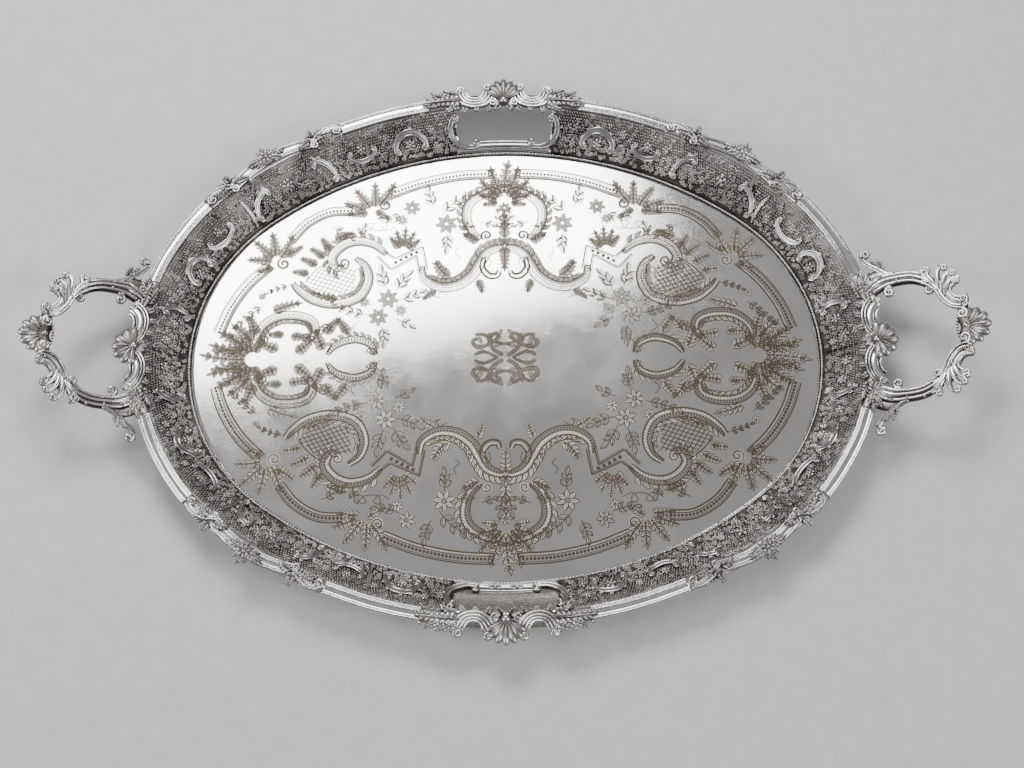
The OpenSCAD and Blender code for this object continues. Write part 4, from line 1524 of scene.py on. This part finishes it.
def build_floor():
    """A plain pale cloth."""
    bpy.ops.mesh.primitive_plane_add(size=40.0, location=(0, 0, 0))
    floor = bpy.context.object
    floor.name = "floor"
    shader = Shader("floor_cloth")
    grain = shader.noise(60.0, 6.0)
    cloth = shader.mix(shader.ramp(grain, 0.3, 0.7), (0.60, 0.59, 0.57), (0.66, 0.65, 0.63))
    shader.link(cloth, shader.surface.inputs["Base Color"])
    shader.surface.inputs["Roughness"].default_value = 0.85
    shader.bump(grain, 0.2, 0.0008)
    floor.data.materials.append(shader.material)


def build_sky():
    """Soft light from all round, darker below the horizon and brighter overhead."""
    world = bpy.data.worlds.new("studio")
    bpy.context.scene.world = world
    world.use_nodes = True
    tree = world.node_tree
    background = tree.nodes["Background"]
    sky = tree.nodes.new("ShaderNodeValToRGB")
    sky.color_ramp.elements[0].color = (0.09, 0.09, 0.095, 1)
    sky.color_ramp.elements[1].color = (0.40, 0.40, 0.41, 1)
    gradient = tree.nodes.new("ShaderNodeTexGradient")
    spin = tree.nodes.new("ShaderNodeMapping")
    spin.inputs["Rotation"].default_value = (0, math.radians(90), 0)
    place = tree.nodes.new("ShaderNodeTexCoord")
    tree.links.new(place.outputs["Generated"], spin.inputs["Vector"])
    tree.links.new(spin.outputs["Vector"], gradient.inputs["Vector"])
    tree.links.new(gradient.outputs["Fac"], sky.inputs["Fac"])
    tree.links.new(sky.outputs["Color"], background.inputs["Color"])
    background.inputs["Strength"].default_value = 1.0


def build_lights():
    """Three soft area lights: a window behind the salver and a weaker one at each side."""
    for name, where, target, wide, tall, power in (
            ("window_light", (-0.26, 0.98, 1.35), (0, 0.1, 0), 0.85, 0.6, 24.0),
            ("fill_light", (1.5, -0.9, 1.6), (0, 0, 0), 0.9, 0.7, 22.0),
            ("side_light", (-1.7, -0.5, 1.2), (0, 0, 0), 0.8, 0.6, 18.0)):
        data = bpy.data.lights.new(name, "AREA")
        data.shape = "RECTANGLE"
        data.size, data.size_y, data.energy = wide, tall, power
        lamp = bpy.data.objects.new(name, data)
        lamp.location = where
        lamp.rotation_euler = (Vector(target) - Vector(where)).to_track_quat("-Z", "Y").to_euler()
        bpy.context.scene.collection.objects.link(lamp)


def build_camera():
    """The camera, at the photograph's viewing angle: steep, and turned a little about its own axis."""
    elevation, roll, yaw, distance = math.radians(67.44), math.radians(-1.18), math.radians(0.745), 1.4139
    target = Vector((0.00555, -0.0234, 0))
    ahead = math.cos(elevation)
    back = Vector((math.sin(yaw) * ahead, -math.cos(yaw) * ahead, math.sin(elevation)))
    level = Vector((math.cos(yaw), math.sin(yaw), 0))
    above = back.cross(level)
    right = level * math.cos(roll) + above * math.sin(roll)
    up = above * math.cos(roll) - level * math.sin(roll)
    turned = Matrix((right, up, back)).transposed().to_4x4()
    lens = bpy.data.cameras.new("camera")
    lens.sensor_width = 36.0
    lens.lens = 59.8
    camera = bpy.data.objects.new("camera", lens)
    camera.matrix_world = Matrix.Translation(target + back * distance) @ turned
    bpy.context.scene.collection.objects.link(camera)
    bpy.context.scene.camera = camera


build_well()
build_beads()
build_borders()
build_panels()
build_reeds()
build_corner_mounts()
build_shell_mounts()
build_end_mounts()
build_handles()
build_engraving()
build_floor()
build_sky()
build_lights()
build_camera()
